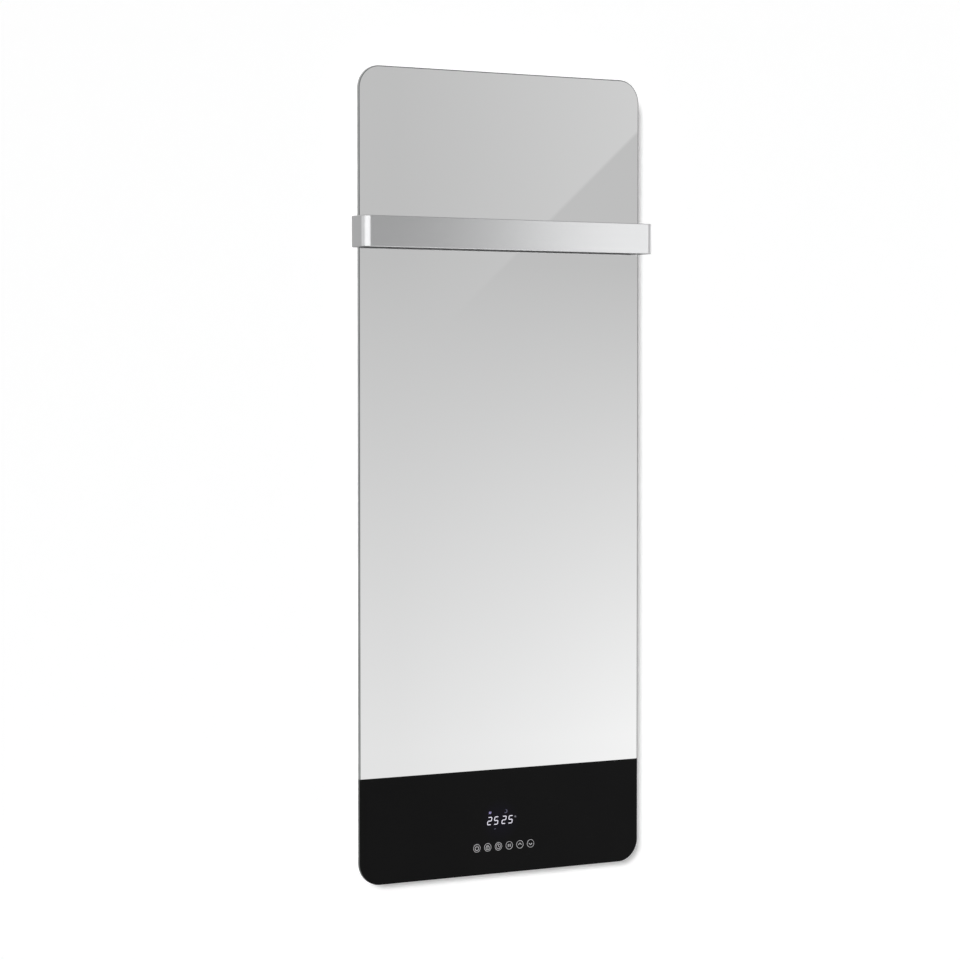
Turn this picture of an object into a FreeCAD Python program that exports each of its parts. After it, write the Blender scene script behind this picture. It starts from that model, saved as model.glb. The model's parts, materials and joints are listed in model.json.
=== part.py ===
import FreeCAD, Part
import math
import os

# Infrared mirror panel heater with a towel rail, hung on two wall brackets.
# Millimetres. X runs to the right seen from the front, Y runs into the wall, Z is up.
# The origin is the centre of the four wall-screw holes, on the wall's surface (y = 0).
# Heights named "above the pane's bottom edge" become row heights through above_bottom().

# Fits and clearances
RUNNING_GAP = 0.3            # between the hanging panel and its wall brackets
SCREW_CLEARANCE = 0.05       # radial, round screw shanks, studs and threads
PIVOT_CLEARANCE = 0.05       # radial, round the switch rocker's pins
EDGE_LIMIT = 0.45            # most of a strip's thickness that a rounded edge may take

# Glass pane
GLASS_WIDTH = 485.0
GLASS_HEIGHT = 1200.0
GLASS_THICK = 5.0
GLASS_CORNER_RADIUS = 34.0
GLASS_ARRIS = 1.2            # polished chamfer round the front edge

# Rear tray and its seal
WALL_GAP = 18.0              # wall to the tray's back
TRAY_WALL = 1.2
TRAY_FLANGE = 14.0
TRAY_CORNER_RADIUS = 16.0
SEAL_THICK = 1.5
SEAL_MARGIN = 1.5            # flange left bare on each side of the seal

# Towel rail: a flat front welded flush to two bent arms
RAIL_HEIGHT = 45.5
RAIL_THICK = 3.0
RAIL_TOP_INSET = 242.5       # pane's top edge to the strip's middle
RAIL_REACH = 32.0            # pane's front to the strip's outer face
RAIL_SIDE_GAP = 5.5          # pane edge to the arm's inner face
RAIL_FRONT_BEND = 10.0       # inside radius of the two front bends
RAIL_BACK_BEND = 3.0         # inside radius of the bends behind the glass
RAIL_LIP = 17.0              # strip end that lies along the tray's side wall
RAIL_EDGE_RADIUS = 0.8
RAIL_SCREW_INSET = 9.75      # strip's edges to the screws
RAIL_SCREW_RADIUS = 2.0
RAIL_SCREW_HEAD_RADIUS = 3.8
RAIL_SCREW_HEAD = 2.4
RAIL_NUT_FLATS = 7.0
RAIL_NUT_HEIGHT = 3.2

# Wall brackets and hanger studs
BRACKET_END = 30.0           # stud to the bracket's end
BRACKET_THICK = 2.0
BRACKET_BEND = 2.0           # inside radius of the two folds
BRACKET_FLANGE = 26.0        # wall flange below the web
WALL_SCREW_INSET = 25.0      # stud to the wall screw beside it
WALL_SCREW_RADIUS = 2.75
WALL_SCREW_DROP = 15.0       # web to the wall screws
WEB_DROP = 12.0              # stud line to the web
SLOT_RISE = 9.0              # stud line to the bracket's top edge
STUD_SPACING = 300.0
STUD_TOP_INSET = 200.0       # pane's top edge to the upper studs
STUD_BAY_RISE = 56.0         # insulation's lower edge to the lower studs
STUD_COLLAR_RADIUS = 6.0
STUD_COLLAR_LENGTH = 3.7
STUD_NECK_RADIUS = 3.0
STUD_HEAD_RADIUS = 6.0
STUD_HEAD = 3.0
STUD_THREAD_RADIUS = 2.5
STUD_NUT_FLATS = 8.0
STUD_NUT_HEIGHT = 4.0
THREAD_PAST_NUT = 1.0
BUMPER_RADIUS = 9.0
BUMPER_NUB_RADIUS = 3.0
BUMPER_NUB_LENGTH = 3.0      # inside the tray
BUMPER_SIDE_INSET = 60.0     # tray side wall to the bumper
BUMPER_RISE = 110.0          # above the pane's bottom edge

# Heater
FILM_THICK = 0.8
FILM_EDGE_GAP = 6.0          # insulation edge to the bus bars
FILM_CORNER_RADIUS = 6.0
BUS_WIDTH = 10.0
INSULATION_MARGIN = 10.0     # tray wall to the insulation
CUTOUT_RADIUS = 8.5
CUTOUT_HEIGHT = 6.0
CUTOUT_POCKET = 2.0          # room round the thermal cut-out

# Control board behind the black band
KEY_COUNT = 6
KEY_PITCH = 18.8
KEY_ROW_OFFSET = 2.6         # middle of the key row, right of the pane's middle
KEY_ROW_RISE = 40.2          # above the pane's bottom edge
KEY_SPRING_RADIUS = 5.0
KEY_SPRING_WIRE = 0.8
DISPLAY_WIDTH = 60.0
DISPLAY_HEIGHT = 36.0
DISPLAY_DEPTH = 8.0
DISPLAY_OFFSET = -2.0        # middle of the display, right of the pane's middle
DISPLAY_ABOVE_KEYS = 39.8    # key row to the display's middle
CONTROL_SIDE_MARGIN = 11.0   # outer key springs to the frame's outer faces
CONTROL_END_MARGIN = 8.0     # key springs or display to the frame's lower and upper faces
CONTROL_TRAY_GAP = 2.0       # frame to the tray's bottom wall
CONTROL_FRAME_WALL = 3.0
BOARD_THICK = 1.6
BOARD_SCREW_RADIUS = 1.25
BOARD_SCREW_HEAD_RADIUS = 2.4
BOARD_SCREW_HEAD = 1.6
BOARD_SCREW_LENGTH = 4.0     # under the board
BOARD_BOSS_RADIUS = 3.5

# Power board on the service cover
BOARD_GAP = 4.0              # control frame to the power board
POWER_STANDOFF = 5.0
GLASS_CLEARANCE = 3.0        # tallest component to the back of the glass
RELAY_SIZE = (20.0, 15.0, 16.0)
TRANSFORMER_SIZE = (24.0, 15.0, 24.0)
TERMINAL_SIZE = (14.0, 14.0, 28.0)
CONNECTOR_SIZE = (9.0, 10.0, 18.0)
CAPACITOR_RADIUS = 5.0
CAPACITOR_HEIGHT = 13.0
FUSE_RADIUS = 2.5
FUSE_LENGTH = 20.0
FUSE_CLIP_WIDTH = 4.0
FUSE_CLIP_WALL = 1.0
COMPONENT_GAP = 4.0
TERMINAL_COUNT = 3
TERMINAL_SCREW_RADIUS = 2.0
TERMINAL_ENTRY_SIZE = 4.0
TERMINAL_ENTRY_RISE = 4.6    # board to the middle of the wire entries
LEAD_RADIUS = 1.25
LEAD_BEND_FILL = 0.9         # share of the room that the switch leads' bends take
SWITCH_LEAD_PITCH = 9.0      # between the switch leads at the connector
LEAD_BAND = 9.0              # board left free above and below the components
LEAD_INSET = 14.0            # board ends to the heater leads
RIBBON_WIDTH = 16.0
RIBBON_THICK = 0.8
RIBBON_CONTROL_INSET = 9.0   # control board's upper edge to the ribbon
RIBBON_POWER_INSET = 4.5     # power board's lower edge to the ribbon

# Service cover
COVER_THICK = 1.2
COVER_OVERLAP = 9.0
COVER_SIDE_MARGIN = 12.0     # power board to the opening's sides
COVER_TOP_MARGIN = 5.0       # power board to the opening's top
COVER_LOW_MARGIN = 20.0      # control frame's foot to the opening's lower edge
COVER_SCREW_COLUMNS = 3
COVER_SCREW_RADIUS = 1.5
COVER_SCREW_HEAD_RADIUS = 2.9
COVER_SCREW_HEAD = 1.8
COVER_SCREW_LENGTH = 5.0
BAY_GAP = 4.0                # service cover to the insulation above it

# Mains rocker switch in the tray's bottom wall
SWITCH_SIDE_GAP = 52.0       # control frame to the switch's middle
SWITCH_LENGTH = 21.0         # flange, along X
SWITCH_WIDTH = 15.0          # flange, along Y
SWITCH_FLANGE = 2.0
SWITCH_RIM = 1.2             # flange past the body
SWITCH_WALL = 1.4
SWITCH_BODY_HEIGHT = 16.0    # above the flange
SWITCH_CUT_CLEARANCE = 0.1
ROCKER_PIN_RADIUS = 1.2
ROCKER_PIN_RISE = 3.0        # flange's lower face to the pivot
ROCKER_TILT = 11.0           # degrees each side of level
ROCKER_SIDE_GAP = 0.4        # rocker to the well's long sides
ROCKER_END_GAP = 1.3         # level rocker to the well's ends
ROCKER_CROWN = 4.4           # pivot to the rocker's outer corners
ROCKER_DIP = 3.0             # pivot to the middle of the rocker's face
ROCKER_ROOT = 2.2            # pivot to the rocker's inner face
ROCKER_SWING_ROOM = 2.4      # rocker's inner face to the well's roof
BLADE_WIDTH = 4.8
BLADE_THICK = 0.8
BLADE_LENGTH = 7.0
BLADE_SPACING = 9.0

# Cable gland in the tray's bottom wall
GLAND_SIDE_GAP = 58.0        # control frame to the gland's middle
GLAND_THREAD_RADIUS = 7.95
GLAND_THREAD_LENGTH = 9.0    # above the tray's wall
GLAND_BORE_RADIUS = 3.5
GLAND_HEX_FLATS = 19.0
GLAND_HEX_HEIGHT = 5.0
GLAND_DOME_RADIUS = 8.6
GLAND_DOME_HEIGHT = 11.0
GLAND_DOME_ROUND = 3.0
GLAND_NUT_FLATS = 20.0
GLAND_NUT_HEIGHT = 5.0

# Room sensor and earth stud
SENSOR_SIDE_GAP = 12.0       # control frame to the sensor's middle
SENSOR_RADIUS = 2.5
SENSOR_BELOW = 10.0          # tube below the tray's wall
SENSOR_ABOVE = 8.0           # tube above the tray's wall
GROMMET_NECK_RADIUS = 4.0
GROMMET_RADIUS = 6.0
GROMMET_THICK = 1.5
EARTH_SIDE_INSET = 40.0      # tray's right wall to the earth stud
EARTH_RISE = 60.0            # above the pane's bottom edge
EARTH_RADIUS = 2.0
EARTH_LENGTH = 10.0          # inside the tray
EARTH_HEAD_RADIUS = 3.5
EARTH_HEAD = 2.0
EARTH_NUT_FLATS = 7.0
EARTH_NUT_HEIGHT = 3.2

# Depths worked out from the stack between wall and rail
TALLEST_COMPONENT = max(RELAY_SIZE[1], TRANSFORMER_SIZE[1], TERMINAL_SIZE[1],
                        CONNECTOR_SIZE[1], CAPACITOR_HEIGHT)
BAY_STACK = GLASS_CLEARANCE + TALLEST_COMPONENT + BOARD_THICK + POWER_STANDOFF
TRAY_DEPTH = max(BAY_STACK - SEAL_THICK, GLAND_NUT_FLATS + 2 * TRAY_WALL)
TRAY_BACK_Y = -WALL_GAP
TRAY_FRONT_Y = TRAY_BACK_Y - TRAY_DEPTH
TRAY_FLOOR_Y = TRAY_BACK_Y - TRAY_WALL
FLANGE_BACK_Y = TRAY_FRONT_Y + TRAY_WALL
GLASS_BACK_Y = TRAY_FRONT_Y - SEAL_THICK
GLASS_FRONT_Y = GLASS_BACK_Y - GLASS_THICK
RAIL_FRONT_Y = GLASS_FRONT_Y - RAIL_REACH
FILM_BACK_Y = GLASS_BACK_Y + FILM_THICK
CONTROL_BOARD_Y = GLASS_BACK_Y + DISPLAY_DEPTH
CONTROL_BACK_Y = CONTROL_BOARD_Y + BOARD_THICK
POWER_BACK_Y = TRAY_BACK_Y - POWER_STANDOFF
POWER_FRONT_Y = POWER_BACK_Y - BOARD_THICK
TRAY_MIDDLE_Y = (TRAY_FRONT_Y + TRAY_BACK_Y) / 2
HOOK_FRONT_Y = TRAY_BACK_Y + STUD_COLLAR_LENGTH + RUNNING_GAP

# Boards, their row of components and the service opening, as heights above the pane's bottom edge
KEY_ROW_LENGTH = (KEY_COUNT - 1) * KEY_PITCH
CONTROL_WIDTH = KEY_ROW_LENGTH + 2 * (KEY_SPRING_RADIUS + CONTROL_SIDE_MARGIN)
CONTROL_LEFT = KEY_ROW_OFFSET - CONTROL_WIDTH / 2
CONTROL_RIGHT = KEY_ROW_OFFSET + CONTROL_WIDTH / 2
DISPLAY_RISE = KEY_ROW_RISE + DISPLAY_ABOVE_KEYS
CONTROL_LOW = KEY_ROW_RISE - KEY_SPRING_RADIUS - CONTROL_END_MARGIN
CONTROL_HIGH = DISPLAY_RISE + DISPLAY_HEIGHT / 2 + CONTROL_END_MARGIN
BOARD_CORNER = BOARD_BOSS_RADIUS + CONTROL_FRAME_WALL / 2
FUSE_CLIP_RADIUS = FUSE_RADIUS + FUSE_CLIP_WALL
ROW_WIDTHS = (TERMINAL_SIZE[0], 2 * FUSE_CLIP_RADIUS, RELAY_SIZE[0], TRANSFORMER_SIZE[0],
              2 * CAPACITOR_RADIUS, CONNECTOR_SIZE[0])
ROW_HEIGHTS = (TERMINAL_SIZE[2], FUSE_LENGTH, RELAY_SIZE[2], TRANSFORMER_SIZE[2],
               2 * CAPACITOR_RADIUS, CONNECTOR_SIZE[2])
POWER_WIDTH = 2 * BOARD_BOSS_RADIUS + sum(ROW_WIDTHS) + (len(ROW_WIDTHS) - 1) * COMPONENT_GAP
POWER_HEIGHT = max(ROW_HEIGHTS) + 2 * LEAD_BAND
POWER_LOW = CONTROL_HIGH + BOARD_GAP
POWER_HIGH = POWER_LOW + POWER_HEIGHT
POWER_LEFT = KEY_ROW_OFFSET - POWER_WIDTH / 2
POWER_RIGHT = KEY_ROW_OFFSET + POWER_WIDTH / 2
LEAD_RISE = POWER_HIGH - LEAD_BAND / 2
OPENING_LOW = CONTROL_LOW + COVER_LOW_MARGIN
OPENING_HIGH = POWER_HIGH + COVER_TOP_MARGIN
OPENING_WIDTH = POWER_WIDTH + 2 * COVER_SIDE_MARGIN

# Tray and heater, sized from the pane and from the bay under them
TRAY_INSET = CONTROL_LOW - CONTROL_TRAY_GAP - TRAY_WALL
TRAY_WIDTH = GLASS_WIDTH - 2 * TRAY_INSET
TRAY_HEIGHT = GLASS_HEIGHT - 2 * TRAY_INSET
INSULATION_WIDTH = TRAY_WIDTH - 2 * (TRAY_WALL + INSULATION_MARGIN)
INSULATION_LOW = OPENING_HIGH + COVER_OVERLAP + BAY_GAP
INSULATION_HIGH = GLASS_HEIGHT - TRAY_INSET - TRAY_WALL - INSULATION_MARGIN
BUS_X = INSULATION_WIDTH / 2 - FILM_EDGE_GAP - BUS_WIDTH / 2
FILM_WIDTH = 2 * BUS_X - BUS_WIDTH
FILM_LOW = INSULATION_LOW + FILM_EDGE_GAP
FILM_HIGH = INSULATION_HIGH - FILM_EDGE_GAP
CUTOUT_RISE = FILM_LOW + CUTOUT_RADIUS + CUTOUT_POCKET

# Wall brackets: the origin is midway between the two rows of wall screws
BRACKET_LENGTH = STUD_SPACING + 2 * BRACKET_END
WALL_SCREW_SPACING = STUD_SPACING - 2 * WALL_SCREW_INSET
STUD_LEVELS = (INSULATION_LOW + STUD_BAY_RISE, GLASS_HEIGHT - STUD_TOP_INSET)
PANE_BOTTOM_Z = WEB_DROP + WALL_SCREW_DROP - sum(STUD_LEVELS) / 2
PANE_MIDDLE_Z = PANE_BOTTOM_Z + GLASS_HEIGHT / 2
RAIL_Z = PANE_BOTTOM_Z + GLASS_HEIGHT - RAIL_TOP_INSET
RAIL_ARM_X = GLASS_WIDTH / 2 + RAIL_SIDE_GAP
TRAY_BOTTOM_Z = PANE_BOTTOM_Z + TRAY_INSET
TRAY_INNER_BOTTOM_Z = TRAY_BOTTOM_Z + TRAY_WALL

# Fittings along the tray's bottom wall and back
SWITCH_X = CONTROL_RIGHT + SWITCH_SIDE_GAP
GLAND_X = CONTROL_LEFT - GLAND_SIDE_GAP
SENSOR_X = CONTROL_LEFT - SENSOR_SIDE_GAP
EARTH_X = TRAY_WIDTH / 2 - EARTH_SIDE_INSET

X_AXIS = FreeCAD.Vector(1, 0, 0)
Y_AXIS = FreeCAD.Vector(0, 1, 0)
Z_AXIS = FreeCAD.Vector(0, 0, 1)


def above_bottom(rise):
    """Turn a height above the pane's bottom edge into a row height."""
    return PANE_BOTTOM_Z + rise


def unit(vector):
    return vector / vector.Length


def block(x_range, y_range, z_range):
    """A plain box between two corners."""
    size = [high - low for low, high in (x_range, y_range, z_range)]
    return Part.makeBox(*size, FreeCAD.Vector(x_range[0], y_range[0], z_range[0]))


def rod(radius, start, end):
    """A cylinder from one point to another."""
    start = FreeCAD.Vector(*start)
    run = FreeCAD.Vector(*end) - start
    return Part.makeCylinder(radius, run.Length, start, run)


def ring(outer_radius, inner_radius, start, end):
    return rod(outer_radius, start, end).cut(rod(inner_radius, start, end))


def hexagon(flats, start, end, flat_direction):
    """A hexagonal prism whose first flat faces flat_direction."""
    start = FreeCAD.Vector(*start)
    run = FreeCAD.Vector(*end) - start
    side_direction = unit(run).cross(flat_direction)
    corner_radius = flats / math.sqrt(3)
    corners = []
    for index in range(6):
        angle = math.radians(30 + 60 * index)
        offset = flat_direction * math.cos(angle) + side_direction * math.sin(angle)
        corners.append(start + offset * corner_radius)
    return Part.Face(Part.makePolygon(corners + corners[:1])).extrude(run)


def corner_arc(before, corner, after, radius):
    """Two tangent points of a rounded corner, with the arc's middle point between them."""
    back = unit(before - corner)
    ahead = unit(after - corner)
    half_angle = back.getAngle(ahead) / 2
    tangent = radius / math.tan(half_angle)
    bisector = unit(back + ahead)
    middle = corner + bisector * (radius / math.sin(half_angle) - radius)
    return corner + back * tangent, middle, corner + ahead * tangent


def rounded_wire(points, radii, closed):
    """Join points with straight runs and round each point that has a radius."""
    count = len(points)
    spans = []
    for index, (point, radius) in enumerate(zip(points, radii)):
        if radius > 0:
            following = points[(index + 1) % count]
            spans.append(corner_arc(points[index - 1], point, following, radius))
        else:
            spans.append((point, None, point))
    edges = []
    for index, (first, middle, last) in enumerate(spans):
        if middle is not None:
            edges.append(Part.Arc(first, middle, last).toShape())
        if index == count - 1 and not closed:
            break
        following = spans[(index + 1) % count][0]
        if (following - last).Length > 1e-6:
            edges.append(Part.LineSegment(last, following).toShape())
    return Part.Wire(edges)


def plate(width, height, radius, y_range, x_middle, z_middle):
    """An upright plate with rounded corners, thick along Y."""
    half_width = width / 2
    half_height = height / 2
    signs = ((-1, -1), (1, -1), (1, 1), (-1, 1))
    points = [FreeCAD.Vector(x_middle + sx * half_width, y_range[0], z_middle + sz * half_height)
              for sx, sz in signs]
    face = Part.Face(rounded_wire(points, [radius] * 4, closed=True))
    return face.extrude(Y_AXIS * (y_range[1] - y_range[0]))


def strip(points, radii, thickness, normal, sweep):
    """A bent flat strip: centreline points in a plane, extruded along the plane's normal."""
    half = thickness / 2
    directions = [unit(b - a) for a, b in zip(points, points[1:])]
    sides = [normal.cross(direction) for direction in directions]
    left, right, left_radii, right_radii = [], [], [], []
    for index, (point, radius) in enumerate(zip(points, radii)):
        before = sides[max(index - 1, 0)]
        after = sides[min(index, len(sides) - 1)]
        mitre = (before + after) / (1 + before.dot(after)) * half
        left.append(point + mitre)
        right.append(point - mitre)
        turn = 0
        if radius > 0:
            turn = math.copysign(half, directions[index - 1].cross(directions[index]).dot(normal))
        left_radii.append(radius - turn)
        right_radii.append(radius + turn)
    outline = rounded_wire(left + right[::-1], left_radii + right_radii[::-1], closed=True)
    return Part.Face(outline).extrude(sweep)


def tube(points, bend_radius, radius):
    """A round lead along straight runs joined by tangent arcs."""
    radii = [0] + [bend_radius] * (len(points) - 2) + [0]
    path = rounded_wire(points, radii, closed=False)
    circle = Part.Circle(points[0], unit(points[1] - points[0]), radius)
    return path.makePipeShell([Part.Wire(circle.toShape())], True, False)


def group(shapes):
    return Part.makeCompound(shapes)


def edges_at(shape, axis, value):
    """Edges that lie wholly at one level along X (0), Y (1) or Z (2)."""
    found = []
    for edge in shape.Edges:
        levels = [edge.valueAt(parameter)[axis] for parameter in edge.ParameterRange]
        if all(abs(level - value) < 1e-6 for level in levels):
            found.append(edge)
    return found


def stud_places():
    for level in STUD_LEVELS:
        for side in (-1, 1):
            yield side * STUD_SPACING / 2, above_bottom(level)


def rail_screw_places():
    """Side and height of each rail screw; all share one depth."""
    for side in (-1, 1):
        for end in (-1, 1):
            yield side, RAIL_Z + end * (RAIL_HEIGHT / 2 - RAIL_SCREW_INSET)


def rail_screw_depth():
    """Middle of the flat part of the rail's lip."""
    flat_start = FLANGE_BACK_Y + RAIL_BACK_BEND + RAIL_THICK
    lip_end = FLANGE_BACK_Y + RAIL_LIP
    return (flat_start + lip_end) / 2


def bumper_places():
    for side in (-1, 1):
        yield side * (TRAY_WIDTH / 2 - BUMPER_SIDE_INSET), above_bottom(BUMPER_RISE)


def control_corners():
    """Screw places of the control board, in from its corners."""
    for side in (-1, 1):
        x = KEY_ROW_OFFSET + side * (CONTROL_WIDTH / 2 - BOARD_CORNER)
        yield x, above_bottom(CONTROL_LOW + BOARD_CORNER)
        yield x, above_bottom(CONTROL_HIGH - BOARD_CORNER)


def power_corners():
    """Screw places of the power board, in from its corners."""
    for x in (POWER_LEFT + BOARD_BOSS_RADIUS, POWER_RIGHT - BOARD_BOSS_RADIUS):
        yield x, above_bottom(POWER_LOW + BOARD_BOSS_RADIUS)
        yield x, above_bottom(POWER_HIGH - BOARD_BOSS_RADIUS)


def cover_screw_places():
    span = OPENING_WIDTH + COVER_OVERLAP
    for rise in (OPENING_LOW - COVER_OVERLAP / 2, OPENING_HIGH + COVER_OVERLAP / 2):
        for column in range(COVER_SCREW_COLUMNS):
            share = column / (COVER_SCREW_COLUMNS - 1) - 0.5
            yield KEY_ROW_OFFSET + share * span, above_bottom(rise)


def key_places():
    for index in range(KEY_COUNT):
        yield KEY_ROW_OFFSET + index * KEY_PITCH - KEY_ROW_LENGTH / 2, above_bottom(KEY_ROW_RISE)


def make_wall_bracket(level):
    """A folded rail: wall flange below, web, hook plate above with open-topped slots."""
    stud_z = above_bottom(level)
    web_z = stud_z - WEB_DROP
    half = BRACKET_THICK / 2
    start_x = -BRACKET_LENGTH / 2
    profile = [(-half, web_z - BRACKET_FLANGE), (-half, web_z),
               (HOOK_FRONT_Y + half, web_z), (HOOK_FRONT_Y + half, stud_z + SLOT_RISE)]
    points = [FreeCAD.Vector(start_x, y, z) for y, z in profile]
    fold = BRACKET_BEND + half
    bracket = strip(points, [0, fold, fold, 0], BRACKET_THICK, X_AXIS, X_AXIS * BRACKET_LENGTH)
    slot_radius = STUD_NECK_RADIUS + RUNNING_GAP
    slot_depth = (HOOK_FRONT_Y - BRACKET_THICK, HOOK_FRONT_Y + 2 * BRACKET_THICK)
    for side in (-1, 1):
        x = side * STUD_SPACING / 2
        slot = rod(slot_radius, (x, slot_depth[0], stud_z), (x, slot_depth[1], stud_z))
        mouth = block((x - slot_radius, x + slot_radius), slot_depth, (stud_z, stud_z + 2 * SLOT_RISE))
        x = side * WALL_SCREW_SPACING / 2
        screw_z = web_z - WALL_SCREW_DROP
        hole = rod(WALL_SCREW_RADIUS, (x, -2 * BRACKET_THICK, screw_z), (x, BRACKET_THICK, screw_z))
        bracket = bracket.cut(slot).cut(mouth).cut(hole)
    return bracket


def make_hanger_studs():
    """Shouldered studs: a collar on the tray, a neck for the slot and a head behind it."""
    neck_end = HOOK_FRONT_Y + BRACKET_THICK + RUNNING_GAP
    thread_end = TRAY_FLOOR_Y - STUD_NUT_HEIGHT - THREAD_PAST_NUT
    studs = []
    for x, z in stud_places():
        collar_end = TRAY_BACK_Y + STUD_COLLAR_LENGTH
        stud = rod(STUD_THREAD_RADIUS, (x, thread_end, z), (x, TRAY_BACK_Y, z))
        stud = stud.fuse(rod(STUD_COLLAR_RADIUS, (x, TRAY_BACK_Y, z), (x, collar_end, z)))
        stud = stud.fuse(rod(STUD_NECK_RADIUS, (x, collar_end, z), (x, neck_end, z)))
        stud = stud.fuse(rod(STUD_HEAD_RADIUS, (x, neck_end, z), (x, neck_end + STUD_HEAD, z)))
        studs.append(stud.removeSplitter())
    return group(studs)


def make_hanger_nuts():
    nuts = []
    for x, z in stud_places():
        ends = ((x, TRAY_FLOOR_Y - STUD_NUT_HEIGHT, z), (x, TRAY_FLOOR_Y, z))
        nut = hexagon(STUD_NUT_FLATS, *ends, Z_AXIS)
        nuts.append(nut.cut(rod(STUD_THREAD_RADIUS + SCREW_CLEARANCE, *ends)))
    return group(nuts)


def make_glass_panel():
    """The pane, with a polished chamfer round its front face."""
    depth = (GLASS_FRONT_Y, GLASS_BACK_Y)
    pane = plate(GLASS_WIDTH, GLASS_HEIGHT, GLASS_CORNER_RADIUS, depth, 0, PANE_MIDDLE_Z)
    return pane.makeChamfer(GLASS_ARRIS, edges_at(pane, 1, GLASS_FRONT_Y))


def make_edge_seal():
    """The bead of silicone between the tray's flange and the glass."""
    depth = (GLASS_BACK_Y, TRAY_FRONT_Y)
    outer = TRAY_FLANGE - SEAL_MARGIN
    seal = plate(TRAY_WIDTH + 2 * outer, TRAY_HEIGHT + 2 * outer, TRAY_CORNER_RADIUS + outer,
                 depth, 0, PANE_MIDDLE_Z)
    hollow = plate(TRAY_WIDTH + 2 * SEAL_MARGIN, TRAY_HEIGHT + 2 * SEAL_MARGIN,
                   TRAY_CORNER_RADIUS + SEAL_MARGIN, depth, 0, PANE_MIDDLE_Z)
    return seal.cut(hollow)


def make_rear_tray():
    """A pressed pan with an outward flange, and a hole for everything fixed through it."""
    flange = plate(TRAY_WIDTH + 2 * TRAY_FLANGE, TRAY_HEIGHT + 2 * TRAY_FLANGE,
                   TRAY_CORNER_RADIUS + TRAY_FLANGE, (TRAY_FRONT_Y, FLANGE_BACK_Y), 0, PANE_MIDDLE_Z)
    pan = plate(TRAY_WIDTH, TRAY_HEIGHT, TRAY_CORNER_RADIUS,
                (TRAY_FRONT_Y, TRAY_BACK_Y), 0, PANE_MIDDLE_Z)
    hollow = plate(TRAY_WIDTH - 2 * TRAY_WALL, TRAY_HEIGHT - 2 * TRAY_WALL,
                   TRAY_CORNER_RADIUS - TRAY_WALL, (TRAY_FRONT_Y, TRAY_FLOOR_Y), 0, PANE_MIDDLE_Z)
    tray = flange.fuse(pan).cut(hollow).removeSplitter()
    return tray.cut(group(tray_back_cuts() + tray_side_cuts() + tray_bottom_cuts()))


def tray_back_cuts():
    """Stud, bumper, cover-screw and earth holes, and the service opening."""
    depth = (TRAY_FLOOR_Y - TRAY_WALL, TRAY_BACK_Y + TRAY_WALL)
    holes = [(x, z, STUD_THREAD_RADIUS) for x, z in stud_places()]
    holes += [(x, z, BUMPER_NUB_RADIUS) for x, z in bumper_places()]
    holes += [(x, z, COVER_SCREW_RADIUS) for x, z in cover_screw_places()]
    holes += [(EARTH_X, above_bottom(EARTH_RISE), EARTH_RADIUS)]
    cuts = [rod(radius + SCREW_CLEARANCE, (x, depth[0], z), (x, depth[1], z)) for x, z, radius in holes]
    half_width = OPENING_WIDTH / 2
    cuts.append(block((KEY_ROW_OFFSET - half_width, KEY_ROW_OFFSET + half_width), depth,
                      (above_bottom(OPENING_LOW), above_bottom(OPENING_HIGH))))
    return cuts


def tray_side_cuts():
    """Holes for the rail screws."""
    cuts = []
    y = rail_screw_depth()
    for side, z in rail_screw_places():
        wall_x = side * TRAY_WIDTH / 2
        cuts.append(rod(RAIL_SCREW_RADIUS + SCREW_CLEARANCE,
                        (wall_x - 2 * TRAY_WALL, y, z), (wall_x + 2 * TRAY_WALL, y, z)))
    return cuts


def tray_bottom_cuts():
    """Holes for the gland, the room sensor and the mains switch."""
    height = (TRAY_BOTTOM_Z - TRAY_WALL, TRAY_INNER_BOTTOM_Z + TRAY_WALL)
    y = TRAY_MIDDLE_Y
    holes = ((GLAND_X, GLAND_THREAD_RADIUS), (SENSOR_X, GROMMET_NECK_RADIUS))
    cuts = [rod(radius + SCREW_CLEARANCE, (x, y, height[0]), (x, y, height[1])) for x, radius in holes]
    half_length = SWITCH_LENGTH / 2 - SWITCH_RIM + SWITCH_CUT_CLEARANCE
    half_width = SWITCH_WIDTH / 2 - SWITCH_RIM + SWITCH_CUT_CLEARANCE
    cuts.append(block((SWITCH_X - half_length, SWITCH_X + half_length),
                      (y - half_width, y + half_width), height))
    return cuts


def make_wall_bumpers():
    """Rubber buffers that keep the panel's foot off the wall."""
    bumpers = []
    for x, z in bumper_places():
        pad = rod(BUMPER_RADIUS, (x, TRAY_BACK_Y, z), (x, 0, z))
        nub = rod(BUMPER_NUB_RADIUS, (x, TRAY_FLOOR_Y - BUMPER_NUB_LENGTH, z), (x, TRAY_BACK_Y, z))
        bumpers.append(pad.fuse(nub).removeSplitter())
    return group(bumpers)


def make_heating_film():
    middle = above_bottom((FILM_LOW + FILM_HIGH) / 2)
    return plate(FILM_WIDTH, FILM_HIGH - FILM_LOW, FILM_CORNER_RADIUS, (GLASS_BACK_Y, FILM_BACK_Y), 0, middle)


def make_bus_bars():
    """Copper strips along both sides of the film, with tails down to the heater leads."""
    bars = []
    for side in (-1, 1):
        x = side * BUS_X
        bars.append(block((x - BUS_WIDTH / 2, x + BUS_WIDTH / 2), (GLASS_BACK_Y, FILM_BACK_Y),
                          (above_bottom(LEAD_RISE - BUS_WIDTH / 2), above_bottom(FILM_HIGH))))
    return group(bars)


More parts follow.
